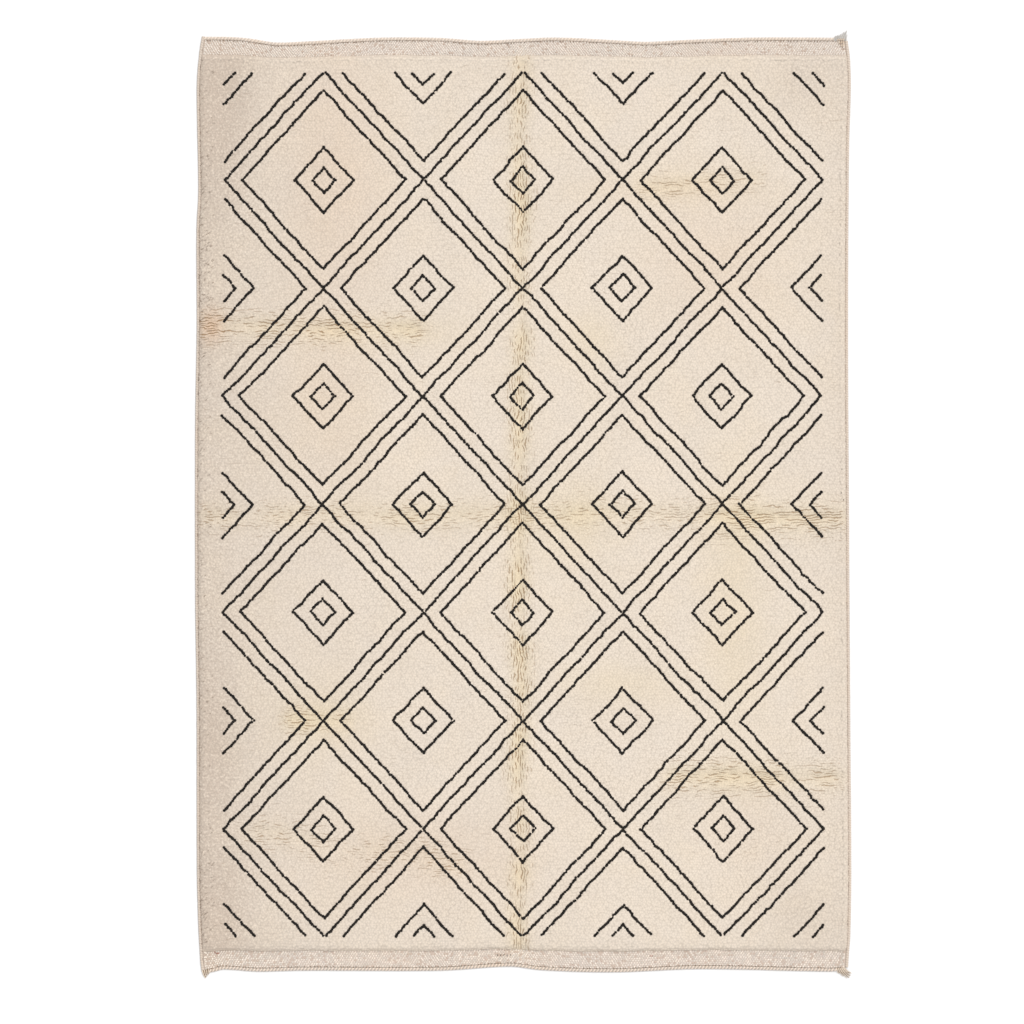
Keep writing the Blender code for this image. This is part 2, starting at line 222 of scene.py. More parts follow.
STAINS = (
    Stain(-0.968, 0.552, 0.036, 0.048, 0.0, 0.0, 0.9),
    Stain(-0.960, 1.280, 0.100, 0.300, 0.0, 0.7, 0.1),
    Stain(-0.960, -1.300, 0.100, 0.220, 0.0, 0.5, 0.1),
    Stain(-0.970, -0.750, 0.070, 0.250, 0.0, 0.4, 0.1),
    Stain(-0.580, 1.000, 0.160, 0.400, 0.0, 0.1, 0.25),
    Stain(-0.600, 0.300, 0.140, 0.250, 0.1, 0.0, 0.15),
    Stain(-0.420, 0.540, 0.280, 0.060, 0.4, 0.0, 0.0),
    Stain(-0.300, -0.030, 0.380, 0.065, 0.3, 0.0, 0.0),
    Stain(0.780, -0.040, 0.220, 0.075, 0.3, 0.0, 0.0),
    Stain(0.700, -0.850, 0.180, 0.060, 0.4, 0.0, 0.0),
    Stain(0.163, -0.048, 0.110, 0.140, 0.6, 0.0, 0.0),
    Stain(0.210, 0.510, 0.070, 0.090, 0.5, 0.0, 0.0),
    Stain(0.660, -0.300, 0.090, 0.420, 0.5, 0.0, 0.0),
    Stain(0.300, -0.560, 0.150, 0.060, 0.5, 0.0, 0.0),
    Stain(-0.630, -0.660, 0.140, 0.100, 0.6, 0.1, 0.0),
    Stain(0.600, 0.750, 0.200, 0.200, 0.1, 0.0, 0.2),
    Stain(-0.300, -1.100, 0.350, 0.150, 0.0, 0.1, 0.2),
    Stain(0.720, -1.050, 0.150, 0.180, 0.0, 0.1, 0.1),
    Stain(0.450, 0.980, 0.250, 0.050, 0.4, 0.0, 0.1),
    Stain(0.860, 1.320, 0.100, 0.130, 0.0, 0.3, 0.0),
    Stain(0.860, -1.280, 0.110, 0.120, 0.0, 0.3, 0.0),
)


def noise_at(x: Numbers, y: Numbers, size: float, seed: float) -> Numbers:
    """Soft noise over the rug.

    Args:
        x: Places across the rug.
        y: Places along the rug.
        size: How wide one patch of the noise is.
        seed: Which noise it is.

    Returns:
        One value from about -1 to 1 for each place.
    """
    x, y = np.broadcast_arrays(np.asarray(x, float), np.asarray(y, float))
    values = [noise.noise((a, b, seed)) for a, b in zip((x / size).ravel(), (y / size).ravel())]
    return np.array(values).reshape(x.shape)


def bowed(rows: tuple[Bow, ...], place: Numbers) -> Numbers:
    """How far an edge bows out at each place, on a smooth curve through its rows."""
    along = np.array([row.along for row in rows])
    out = np.array([row.out for row in rows])
    place = np.clip(place, along[0], along[-1])
    low = np.clip(np.searchsorted(along, place, side="right") - 1, 0, len(rows) - 2)
    high = low + 1
    before = np.maximum(low - 1, 0)
    after = np.minimum(low + 2, len(rows) - 1)
    run = along[high] - along[low]
    low_slope = run * (out[high] - out[before]) / (along[high] - along[before])
    high_slope = run * (out[after] - out[low]) / (along[after] - along[low])
    t = (place - along[low]) / run
    start = (1 - t) ** 2 * ((1 + 2 * t) * out[low] + t * low_slope)
    end = t**2 * ((3 - 2 * t) * out[high] + (t - 1) * high_slope)
    return start + end


class CreaseLine:
    """One crease as it runs over the rug, with its wander and its uneven strength.

    Args:
        crease: The row that it follows.
    """

    WAVE = 0.24
    MEAN_STRENGTH = 0.8
    UNEVENNESS = 0.8
    SHARPNESS = 1.4
    RIDGE_SHARE = 0.30
    TABLE_STEP = 0.01
    TABLE_SPARE = 0.3
    CREAM_REACH = 1.15

    def __init__(self, crease: Crease) -> None:
        self.crease = crease
        self.start = np.array([crease.start_x, crease.start_y])
        end = np.array([crease.end_x, crease.end_y])
        self.length = float(np.linalg.norm(end - self.start))
        self.run = (end - self.start) / self.length
        self.side = np.array([self.run[1], -self.run[0]])
        self.places = np.arange(-self.TABLE_SPARE, self.length + self.TABLE_SPARE, self.TABLE_STEP)
        first, last = self.start * SEED_SPREAD, end * SEED_SPREAD
        self.wanders = [noise.noise((p / self.WAVE, *first)) for p in self.places]
        self.unevens = [noise.noise((2 * p / self.WAVE, *last)) for p in self.places]

    def wander(self, along: Numbers) -> Numbers:
        """How far the crease strays sideways at each place along it."""
        return self.crease.wander * np.interp(along, self.places, self.wanders)

    def seen_from(self, x: Numbers, y: Numbers) -> tuple[Numbers, Numbers]:
        """The distance across from the crease at each place, and the crease's strength there."""
        offset_x, offset_y = x - self.start[0], y - self.start[1]
        along = offset_x * self.run[0] + offset_y * self.run[1]
        across = offset_x * self.side[0] + offset_y * self.side[1] + self.wander(along)
        inside = np.minimum(along, self.length - along) / (2 * self.crease.reach)
        uneven = np.interp(along, self.places, self.unevens)
        strength = np.clip(inside + 0.5, 0, 1)
        return across, strength * (self.MEAN_STRENGTH + self.UNEVENNESS * uneven)

    def height(self, x: Numbers, y: Numbers) -> Numbers:
        """What the crease adds to the pile's height at each place."""
        across, strength = self.seen_from(x, y)
        s = (across / self.crease.reach) ** 2
        profile = ((1 + 2 * self.RIDGE_SHARE) * s - 1) * np.exp(-self.SHARPNESS * s)
        return self.crease.depth * strength * profile

    def streaks(self, x: Numbers, y: Numbers) -> Numbers:
        """How streaked the pile is at each place because of the crease."""
        across, strength = self.seen_from(x, y)
        return self.crease.streaked * strength * np.exp(-((across / self.crease.spread) ** 2))

    def cream(self, x: Numbers, y: Numbers) -> Numbers:
        """How cream the wool is at each place because of the crease."""
        across, strength = self.seen_from(x, y)
        reach = self.CREAM_REACH * self.crease.reach
        return self.crease.cream * strength * np.exp(-((across / reach) ** 2))


@dataclass(frozen=True)
class Lie:
    """How the rug lies on the floor: its outline, its creases and its cloth's height, as in the solids."""

    width: float = 2.030
    length: float = 2.900
    gap: float = 0.0003
    middle_x: float = 0.002645
    middle_y: float = 0.001685
    side_cord_width: float = 0.009
    end_cord_width: float = 0.011
    band_height: float = 0.0045
    rim_height: float = 0.0078
    pile_height: float = 0.0180
    lump_height: float = 0.0014
    lump_length: float = 0.21
    head_band: float = 0.053
    foot_band: float = 0.061
    band_wander: float = 0.0025
    band_wander_wave: float = 0.07
    band_wander_reach: float = 0.02
    shoulder_depths: tuple[float, ...] = (0.000, 0.005, 0.013, 0.032)
    shoulder_shares: tuple[float, ...] = (0.00, 0.60, 0.93, 1.00)
    side_bow_fade: float = 0.50
    end_bow_fade: float = 0.06
    stiff_edge: float = 0.013
    slope_step: float = 0.002
    stroke: float = 0.022
    faint: float = 0.09
    faint_size: float = 0.11
    faint_seed: float = 5.2
    left_grey: float = 0.66
    left_grey_reach: float = 0.27
    right_grey: float = 0.35
    right_grey_reach: float = 0.06
    end_grey: float = 0.22
    end_grey_reach: float = 0.09

    @cached_property
    def creases(self) -> list[CreaseLine]:
        """Every crease of the rug."""
        return [CreaseLine(crease) for crease in CREASES]

    @property
    def body_side(self) -> float:
        """Half the width of the woven body between its side cords."""
        return self.width / 2 - self.side_cord_width - self.gap

    @property
    def body_end(self) -> float:
        """Half the length of the woven body between its end cords."""
        return self.length / 2 - self.end_cord_width - self.gap

    @property
    def pile_head(self) -> float:
        """Where the pile stops at the head end."""
        return self.length / 2 - self.head_band

    @property
    def pile_foot(self) -> float:
        """Where the pile stops at the foot end."""
        return -self.length / 2 + self.foot_band

    def fade(self, depth: Numbers, reach: float) -> Numbers:
        """The share of an edge's bow that is left at a depth inside the edge."""
        return np.exp(-np.maximum(depth - self.stiff_edge, 0) / reach)

    def laid(self, x: Numbers, y: Numbers) -> tuple[Numbers, Numbers]:
        """Where the places of the straight rug lie once its edges bow."""
        right = bowed(RIGHT_BOW, y) * self.fade(self.width / 2 - x, self.side_bow_fade)
        left = bowed(LEFT_BOW, y) * self.fade(self.width / 2 + x, self.side_bow_fade)
        head = bowed(HEAD_BOW, x) * self.fade(self.length / 2 - y, self.end_bow_fade)
        foot = bowed(FOOT_BOW, x) * self.fade(self.length / 2 + y, self.end_bow_fade)
        return x + right - left - self.middle_x, y + head - foot - self.middle_y

    def placed(self, x: Numbers, y: Numbers, z: Numbers) -> Numbers:
        """The points of the straight rug as they lie, one row each."""
        x, y, z = np.broadcast_arrays(x, y, z)
        return np.stack([*self.laid(x, y), z], axis=-1).reshape(-1, 3)

    def shoulder(self, depth: Numbers) -> Numbers:
        """The share of the pile's height at each depth inside its rim."""
        return np.interp(depth, self.shoulder_depths, self.shoulder_shares)

    def height(self, x: Numbers, y: Numbers) -> Numbers:
        """The height of the cloth at each place of the straight rug."""
        seed = SEED_SPREAD / self.lump_length
        lump = noise_at(x, y, self.lump_length, seed)
        lump += noise_at(x, y, self.lump_length / 3, 3 * seed) / 2
        pile = self.pile_height + self.lump_height * lump + sum(c.height(x, y) for c in self.creases)
        top = self.rim_height + (pile - self.rim_height) * self.shoulder(self.body_side - abs(x))
        end = np.minimum(self.pile_head - y, y - self.pile_foot)
        return self.band_height + (top - self.band_height) * self.shoulder(end)

    def normal(self, x: Numbers, y: Numbers, height: Numbers) -> Numbers:
        """The way out of the cloth at each place, one row each."""
        step = self.slope_step
        slope_x = (self.height(x + step, y) - height) / step
        slope_y = (self.height(x, y + step) - height) / step
        ways = np.stack([-slope_x, -slope_y, np.ones_like(slope_x)], axis=-1)
        return ways / np.linalg.norm(ways, axis=-1, keepdims=True)

    def edge_shift(self, x: Numbers, y: Numbers) -> Numbers:
        """How far the edge between pile and flat weave wanders near each place."""
        distance = np.minimum(abs(y - self.pile_head), abs(y - self.pile_foot))
        near = self.band_wander * np.exp(-distance / self.band_wander_reach)
        seeds = np.copysign(SEED_SPREAD, y).ravel()
        values = [noise.noise((a, b, 0.0)) for a, b in zip((x / self.band_wander_wave).ravel(), seeds)]
        return near * np.array(values).reshape(x.shape)

    def streaks(self, x: Numbers, y: Numbers) -> Numbers:
        """How streaked the pile is lengthwise and crosswise, and the strokes' length, one row each."""
        lengthwise = np.zeros_like(x)
        # faint strokes of painted shade over the whole field
        crosswise = self.faint * (1 + noise_at(x, y, self.faint_size, self.faint_seed))
        weighed = crosswise * self.stroke
        for line in self.creases:
            share = line.streaks(x, y)
            weighed += share * line.crease.stroke
            if abs(line.run[1]) > abs(line.run[0]):
                lengthwise += share
            else:
                crosswise += share
        stroke = weighed / (lengthwise + crosswise)
        strengths = (np.clip(lengthwise, 0, 1), np.clip(crosswise, 0, 1))
        return np.stack([*strengths, stroke], axis=-1).reshape(-1, 3)

    def tints(self, x: Numbers, y: Numbers) -> Numbers:
        """How cream, how grey and how pink the wool is at each place, one row each."""
        cream = sum(crease.cream(x, y) for crease in self.creases)
        grey = self.left_grey * np.exp(-(x + self.width / 2) / self.left_grey_reach)
        grey += self.right_grey * np.exp(-(self.width / 2 - x) / self.right_grey_reach)
        grey += self.end_grey * np.exp(-(self.length / 2 - abs(y)) / self.end_grey_reach)
        pink = np.zeros_like(x)
        for stain in STAINS:
            off_x, off_y = (x - stain.x) / stain.reach_x, (y - stain.y) / stain.reach_y
            share = np.exp(-(off_x**2) - off_y**2)
            cream = cream + share * stain.cream
            grey = grey + share * stain.grey
            pink = pink + share * stain.pink
        return np.clip(np.stack([cream, grey, pink], axis=-1), 0, 1).reshape(-1, 3)


class Tree:
    """A node tree as it is built, of either kind, with short calls for its nodes and sockets.

    Args:
        tree: The tree to build in.
    """

    def __init__(self, tree: NodeTree) -> None:
        self.tree = tree
        self.entry: bpy.types.Node | None = None

    @classmethod
    def group(cls, name: str, kind: str) -> "Tree":
        """Starts a new group of this name and kind of tree."""
        made = cls(bpy.data.node_groups.new(name, kind))
        made.entry = made.tree.nodes.new("NodeGroupInput")
        return made

    def input(self, name: str, kind: str, value: Any = None) -> Socket:
        """Adds a named input to the group.

        Args:
            name: The input's name.
            kind: Its socket type.
            value: Its value where nothing sets it.

        Returns:
            The socket that gives the input's value inside the group.
        """
        item = self.tree.interface.new_socket(name=name, in_out="INPUT", socket_type=kind)
        if value is not None:
            item.default_value = value
        return self.entry.outputs[name]

    def output(self, name: str, kind: str, value: Socket) -> None:
        """Adds a named output to the group and feeds it."""
        self.tree.interface.new_socket(name=name, in_out="OUTPUT", socket_type=kind)
        ends = [node for node in self.tree.nodes if node.bl_idname == "NodeGroupOutput"]
        end = ends[0] if ends else self.tree.nodes.new("NodeGroupOutput")
        self.tree.links.new(value, end.inputs[name])

    def add(self, kind: str, inputs: dict[str | int, Any] | None = None, **settings: Any) -> bpy.types.Node:
        """Adds a node.

        Args:
            kind: The node's type.
            inputs: Values or sockets for its inputs, by name or number.
            **settings: Its own properties.

        Returns:
            The new node.
        """
        node = self.tree.nodes.new(kind)
        for name, value in settings.items():
            setattr(node, name, value)
        for key, value in (inputs or {}).items():
            if isinstance(value, Socket):
                self.tree.links.new(value, node.inputs[key])
            else:
                node.inputs[key].default_value = value
        return node

    def math(self, operation: str, *values: float | Socket, clamp: bool = False) -> Socket:
        """The result of a sum on numbers."""
        inputs = dict(enumerate(values))
        return self.add("ShaderNodeMath", inputs, operation=operation, use_clamp=clamp).outputs[0]

    def times(self, first: float | Socket, second: float | Socket, clamp: bool = False) -> Socket:
        """One number times another."""
        return self.math("MULTIPLY", first, second, clamp=clamp)

    def vector(self, x: float | Socket, y: float | Socket, z: float | Socket) -> Socket:
        """A vector of three numbers."""
        return self.add("ShaderNodeCombineXYZ", {0: x, 1: y, 2: z}).outputs[0]

    def parts(self, vector: Socket) -> bpy.types.bpy_prop_collection:
        """The three numbers of a vector."""
        return self.add("ShaderNodeSeparateXYZ", {0: vector}).outputs


class Shapes(Tree):
    """A Geometry Nodes tree as it is built."""

    @classmethod
    def named(cls, name: str) -> "Shapes":
        """Starts a tree of this name."""
        return cls.group(name, "GeometryNodeTree")

    def carried(self, name: str, kind: str = "FLOAT") -> Socket:
        """The named number or vector that each point carries."""
        node = self.add("GeometryNodeInputNamedAttribute", {"Name": name}, data_type=kind)
        return node.outputs["Attribute"]

    def place(self) -> Socket:
        """The place of each point."""
        return self.add("GeometryNodeInputPosition").outputs[0]

    def smooth(self, geometry: Socket) -> Socket:
        """The geometry, shaded smooth."""
        return self.add("GeometryNodeSetShadeSmooth", {0: geometry, "Shade Smooth": True}).outputs[0]

    def store(self, geometry: Socket, name: str, value: float | Socket, kind: str = "FLOAT") -> Socket:
        """The geometry with a named value on each of its points."""
        inputs = {"Geometry": geometry, "Name": name, "Value": value}
        node = self.add("GeometryNodeStoreNamedAttribute", inputs, data_type=kind, domain="POINT")
        return node.outputs["Geometry"]

    def moved(self, geometry: Socket, **inputs: Socket) -> Socket:
        """The geometry with its points at new places."""
        return self.add("GeometryNodeSetPosition", {"Geometry": geometry, **inputs}).outputs["Geometry"]

    def finish(self, geometry: Socket, material: Socket) -> NodeTree:
        """Ends the tree: what it makes is real, and wears a material."""
        real = self.add("GeometryNodeRealizeInstances", {"Geometry": geometry}).outputs["Geometry"]
        marks_and_painted_shade = self.add("GeometryNodeSetMaterial", {"Geometry": real, "Material": material})
        self.output("Geometry", "NodeSocketGeometry", marks_and_painted_shade.outputs["Geometry"])
        return self.tree


def in_scene(name: str, data: bpy.types.ID) -> Thing:
    """A new object in the scene."""
    thing = bpy.data.objects.new(name, data)
    bpy.context.scene.collection.objects.link(thing)
    return thing


def carrier_of_points(name: str, places: Numbers, carried: dict[str, Numbers]) -> Thing:
    """Loose points that carry numbers and ways for a tree to read.

    Args:
        name: The carrier's name.
        places: One row for each point.
        carried: The values of each named attribute.

    Returns:
        The carrier, which is in the scene.
    """
    mesh = bpy.data.meshes.new(name)
    mesh.vertices.add(len(places))
    mesh.vertices.foreach_set("co", places.astype(np.float32).ravel())
    carry(mesh, carried)
    return in_scene(name, mesh)


def carry(mesh: bpy.types.Mesh, carried: dict[str, Numbers]) -> None:
    """Gives each point of a mesh its named numbers, or its vectors where they come in rows."""
    for key, values in carried.items():
        single = values.ndim == 1
        layer = mesh.attributes.new(key, "FLOAT" if single else "FLOAT_VECTOR", "POINT")
        layer.data.foreach_set("value" if single else "vector", values.astype(np.float32).ravel())


def level_ways(heading: Numbers) -> Numbers:
    """The level way that each heading points, one row each."""
    return np.column_stack([np.cos(heading), np.sin(heading), np.zeros(len(heading))])


def carrier_of_lines(name: str, lines: list[Numbers]) -> Thing:
    """Lines through points, for a tree to follow."""
    curve = bpy.data.curves.new(name, "CURVE")
    curve.dimensions = "3D"
    for line in lines:
        spline = curve.splines.new("POLY")
        spline.points.add(len(line) - 1)
        spline.points.foreach_set("co", np.hstack([line, np.ones((len(line), 1))]).ravel())
    return in_scene(name, curve)


def grown(name: str, carrier: Thing, tree: NodeTree, values: dict[str, Any]) -> Thing:
    """Runs a tree on its carrier and keeps what it makes as a plain mesh.

    Args:
        name: The new piece's name.
        carrier: The points or lines that the tree reads, which are removed.
        tree: The tree.
        values: What its named inputs are set to.

    Returns:
        The new piece, with no modifier.
    """
    modifier = carrier.modifiers.new(name, "NODES")
    modifier.node_group = tree
    for item in tree.interface.items_tree:
        if item.item_type == "SOCKET" and item.in_out == "INPUT" and item.name in values:
            modifier[item.identifier] = values[item.name]
    graph = bpy.context.evaluated_depsgraph_get()
    made = carrier.evaluated_get(graph)
    mesh = bpy.data.meshes.new_from_object(made, preserve_all_data_layers=True, depsgraph=graph)
    bpy.data.objects.remove(carrier)
    mesh.name = name
    return in_scene(name, mesh)


def map_from_above(piece: Thing) -> None:
    """Gives a piece a map seen from straight above, so that each small shape takes its place's colour."""
    mesh = piece.data
    places = np.empty(len(mesh.vertices) * 3, np.float32)
    mesh.vertices.foreach_get("co", places)
    places = places.reshape(-1, 3)[:, :2]
    low, high = places.min(axis=0), places.max(axis=0)
    corners = np.empty(len(mesh.loops), np.int32)
    mesh.loops.foreach_get("vertex_index", corners)
    flat = mesh.uv_layers.new(name=FLAT_MAP)
    flat.uv.foreach_set("vector", ((places - low) / (high - low))[corners].ravel())


def soften(piece: Thing, points_each: int, roundness: float) -> None:
    """Shades each planted tuft as a soft cushion, which closes the pile to one plush surface.

    Args:
        piece: The planted tufts.
        points_each: How many points one tuft has, its crown first and then its ring.
        roundness: How far the shading turns outward at the tuft's ring.
    """
    mesh = piece.data
    places = np.empty(len(mesh.vertices) * 3, np.float32)
    mesh.vertices.foreach_get("co", places)
    leans = np.empty_like(places)
    mesh.attributes["lean"].data.foreach_get("vector", leans)
    places, leans = (values.reshape(-1, points_each, 3) for values in (places, leans))
    leans = leans / np.linalg.norm(leans, axis=-1, keepdims=True)
    offsets = places - places[:, 1:].mean(axis=1, keepdims=True)
    outward = offsets - (offsets * leans).sum(axis=-1, keepdims=True) * leans
    outward /= np.maximum(np.linalg.norm(outward, axis=-1, keepdims=True), LEAST_LENGTH)
    normals = leans + roundness * outward
    normals /= np.linalg.norm(normals, axis=-1, keepdims=True)
    mesh.normals_split_custom_set_from_vertices(normals.reshape(-1, 3))


def planting_tree(capped: bool) -> NodeTree:
    """The tree that plants one small yarn shape on each point, its axis along the point's lean.

    Args:
        capped: Whether the shape is a low cone, as a cut tuft is, or else a plump oval, as a stitch is.

    Returns:
        The tree. The points carry lean, spin and size. Crown and Root are how far the shape reaches from its
        ring both ways.
    """
    t = Shapes.named("planted_tuft" if capped else "planted_stitch")
    points = t.input("Geometry", "NodeSocketGeometry")
    sides = t.input("Sides", "NodeSocketInt", 4)
    crown = t.input("Crown", "NodeSocketFloat", 0.001)
    root = t.input("Root", "NodeSocketFloat", 0.0)
    material = t.input("Finish", "NodeSocketMaterial")
    if capped:
        inputs = {"Vertices": sides, "Radius Top": 0.0, "Radius Bottom": 1.0, "Depth": 1.0}
        plain = t.add("GeometryNodeMeshCone", inputs, fill_type="NGON").outputs["Mesh"]
    else:
        inputs = {"Segments": sides, "Rings": 3, "Radius": 1.0}
        plain = t.smooth(t.add("GeometryNodeMeshUVSphere", inputs).outputs["Mesh"])
    x, y, z = t.parts(t.place())
    up = t.times(t.math("MAXIMUM", z, 0.0), crown)
    down = t.times(t.math("MINIMUM", z, 0.0), root)
    level = t.math("ADD", up, down)
    tip = t.math("DIVIDE", t.math("ADD", level, root), t.math("ADD", crown, root))
    # where each point sits along the shape; the wool reads it to paint shade towards the root
    shape = t.store(plain, "tip", tip)
    shape = t.moved(shape, Position=t.vector(x, y, level))
    spin = t.vector(0.0, 0.0, t.carried("spin"))
    turn = t.add("FunctionNodeEulerToRotation", {0: spin}).outputs[0]
    inputs = {"Rotation": turn, "Vector": t.carried("lean", "FLOAT_VECTOR")}
    turn = t.add("FunctionNodeAlignRotationToVector", inputs, axis="Z").outputs[0]
    size = t.carried("size", "FLOAT_VECTOR")
    inputs = {"Points": points, "Instance": shape, "Rotation": turn, "Scale": size}
    return t.finish(t.add("GeometryNodeInstanceOnPoints", inputs).outputs[0], material)


def yarn_tree(plies: int) -> NodeTree:
    """The tree that turns lines into twisted yarn or wrapped cord.

    Args:
        plies: How many strands are twisted together.

    Returns:
        The tree. Swing is how far each strand runs from the middle line, Ridge how much a wrapped cord swells
        at each turn, and Taper the share of its width that it loses at its far end.
    """
    t = Shapes.named(f"twisted_yarn_{plies}")
    lines = t.input("Geometry", "NodeSocketGeometry")
    step = t.input("Step", "NodeSocketFloat", 0.0024)
    sides = t.input("Sides", "NodeSocketInt", 5)
    names = ("Radius", "Turn Length", "Swing Across", "Swing Up", "Ridge", "Taper", "Unevenness",
             "Middle Height", "Flatness")
    values = (0.003, 0.02, 0.0, 0.0, 0.0, 0.0, 0.1, 0.004, 1.0)
    sizes = [t.input(name, "NodeSocketFloat", value) for name, value in zip(names, values)]
    radius, turn_length, swing_across, swing_up, ridge, taper, uneven, middle, flatness = sizes
    material = t.input("Finish", "NodeSocketMaterial")
    line = t.add("GeometryNodeResampleCurve", {"Curve": lines, "Length": step}, mode="LENGTH").outputs[0]
    along = t.add("GeometryNodeSplineParameter")
    line = t.store(line, "run", along.outputs["Length"])
    line = t.store(line, "reach", along.outputs["Factor"])
    inputs = {0: t.add("GeometryNodeInputTangent").outputs[0], 1: (0.0, 0.0, 1.0)}
    across = t.add("ShaderNodeVectorMath", inputs, operation="CROSS_PRODUCT").outputs[0]
    angle = t.math("DIVIDE", t.times(t.carried("run"), math.tau), turn_length)
    inputs = {"Vector": t.place(), "Scale": YARN_PATCH_SCALE, "Detail": 1.0}
    patchy = t.math("SUBTRACT", t.add("ShaderNodeTexNoise", inputs).outputs[0], 0.5)
    swell = t.times(patchy, t.times(uneven, 2.0))
    inputs = {"Resolution": sides, "Radius": 1.0}
    ring = t.add("GeometryNodeCurvePrimitiveCircle", inputs, mode="RADIUS").outputs[0]
    ring = t.store(ring, "round", t.place(), "FLOAT_VECTOR")
    strands = []
    for ply in range(plies):
        phase = t.math("ADD", angle, math.tau * ply / plies)
        side = t.times(t.math("COSINE", phase), swing_across)
        lift = t.times(t.math("SINE", phase), swing_up)
        sideways = t.add("ShaderNodeVectorMath", {0: across, "Scale": side}, operation="SCALE").outputs[0]
        inputs = {0: sideways, 1: t.vector(0.0, 0.0, lift)}
        offset = t.add("ShaderNodeVectorMath", inputs, operation="ADD").outputs[0]
        strand = t.moved(line, Offset=offset)
        strand = t.store(strand, "tone", ply / max(plies - 1, 1))
        strand = t.store(strand, "tip", 1.0)
        wave = t.times(t.math("COSINE", phase), ridge)
        width = t.math("ADD", t.math("ADD", swell, wave), 1.0)
        left = t.math("SUBTRACT", 1.0, t.times(t.carried("reach"), taper))
        width = t.times(t.times(width, left), radius)
        inputs = {"Curve": strand, "Profile Curve": ring, "Scale": width, "Fill Caps": True}
        strands.append(t.add("GeometryNodeCurveToMesh", inputs).outputs[0])
    join = t.add("GeometryNodeJoinGeometry")
    for strand in strands:
        t.tree.links.new(strand, join.inputs[0])
    smooth = t.smooth(join.outputs[0])
    x, y, z = t.parts(t.place())
    flat = t.math("ADD", middle, t.times(t.math("SUBTRACT", z, middle), flatness))
    return t.finish(t.moved(smooth, Position=t.vector(x, y, flat)), material)


class Shader(Tree):
    """A shader tree as it is built, of a material or of a shared group."""

    def mix(self, share: float | Socket, first: Any, second: Any, blend: str = "MIX") -> Socket:
        """One colour laid over another."""
        inputs = {"Factor": share, 6: first, 7: second}
        return self.add("ShaderNodeMix", inputs, data_type="RGBA", blend_type=blend).outputs[2]

    def lit(self, colour: Socket, light: Socket) -> Socket:
        """A colour made lighter or darker."""
        return self.mix(1.0, colour, self.vector(light, light, light), "MULTIPLY")

    def place(self) -> Socket:
        """The place on the object."""
        return self.add("ShaderNodeTexCoord").outputs["Object"]

    def noise(self, place: Socket, scale: float | Socket, detail: float = 2.0) -> Socket:
        """Soft noise from 0 to 1."""
        return self.add("ShaderNodeTexNoise", {"Vector": place, "Scale": scale, "Detail": detail}).outputs[0]

    def swing(self, value: Socket) -> Socket:
        """Noise from 0 to 1 as a swing to both sides of nothing."""
        return self.math("SUBTRACT", value, 0.5)

    def spread(self, value: Socket, low: float, high: float, least: float, most: float) -> Socket:
        """A value from low to high, spread from least to most."""
        names = ("Value", "From Min", "From Max", "To Min", "To Max")
        return self.add("ShaderNodeMapRange", dict(zip(names, (value, low, high, least, most)))).outputs[0]

    def carried(self, name: str, output: str = "Fac") -> Socket:
        """What the piece's points carry under a name."""
        return self.add("ShaderNodeAttribute", attribute_name=name).outputs[output]


def opaque(colour: Colour) -> tuple[float, float, float, float]:
    """A colour with full alpha."""
    return (*colour, 1.0)


@dataclass(frozen=True)
class WoolTone:
    """The shared group that gives natural wool its cloudy colour."""

    NAME: ClassVar[str] = "wool_tone"
    broad_scale: float = 2.3
    broad_detail: float = 3.0
    middle_scale: float = 11.0
    fine_scale: float = 190.0

    def build(self) -> NodeTree:
        """The group: three colours in, clouded and grained to one colour."""
        s = Shader.group(self.NAME, "ShaderNodeTree")
        base = s.input("Base", "NodeSocketColor", opaque((0.7, 0.6, 0.5)))
        warm = s.input("Warm", "NodeSocketColor", opaque((0.7, 0.58, 0.46)))
        cool = s.input("Cool", "NodeSocketColor", opaque((0.68, 0.6, 0.52)))
        clouds = s.input("Clouds", "NodeSocketFloat", 0.5)
        grain = s.input("Grain", "NodeSocketFloat", 0.1)
        place = s.place()
        broad = s.spread(s.noise(place, self.broad_scale, self.broad_detail), *NOISE_RANGE, 0.0, 1.0)
        middle = s.spread(s.noise(place, self.middle_scale), *NOISE_RANGE, 0.0, 1.0)
        fine = s.noise(place, self.fine_scale)
        colour = s.mix(s.times(broad, clouds), base, warm)
        colour = s.mix(s.times(middle, clouds), colour, cool)
        light = s.math("ADD", 1.0, s.times(s.swing(fine), grain))
        s.output("Colour", "NodeSocketColor", s.lit(colour, light))
        return s.tree


@dataclass(frozen=True)
class FibreRelief:
    """The shared group that gives wool its fibres, as a height."""

    NAME: ClassVar[str] = "fibre_relief"
    size: float = 0.0012
    detail: float = 3.0

    def build(self) -> NodeTree:
        """The group: the fibres' size in, their height out."""
        s = Shader.group(self.NAME, "ShaderNodeTree")
        size = s.input("Fibre Size", "NodeSocketFloat", self.size)
        fibres = s.noise(s.place(), s.math("DIVIDE", 1.0, size), self.detail)
        s.output("Height", "NodeSocketFloat", fibres)
        return s.tree
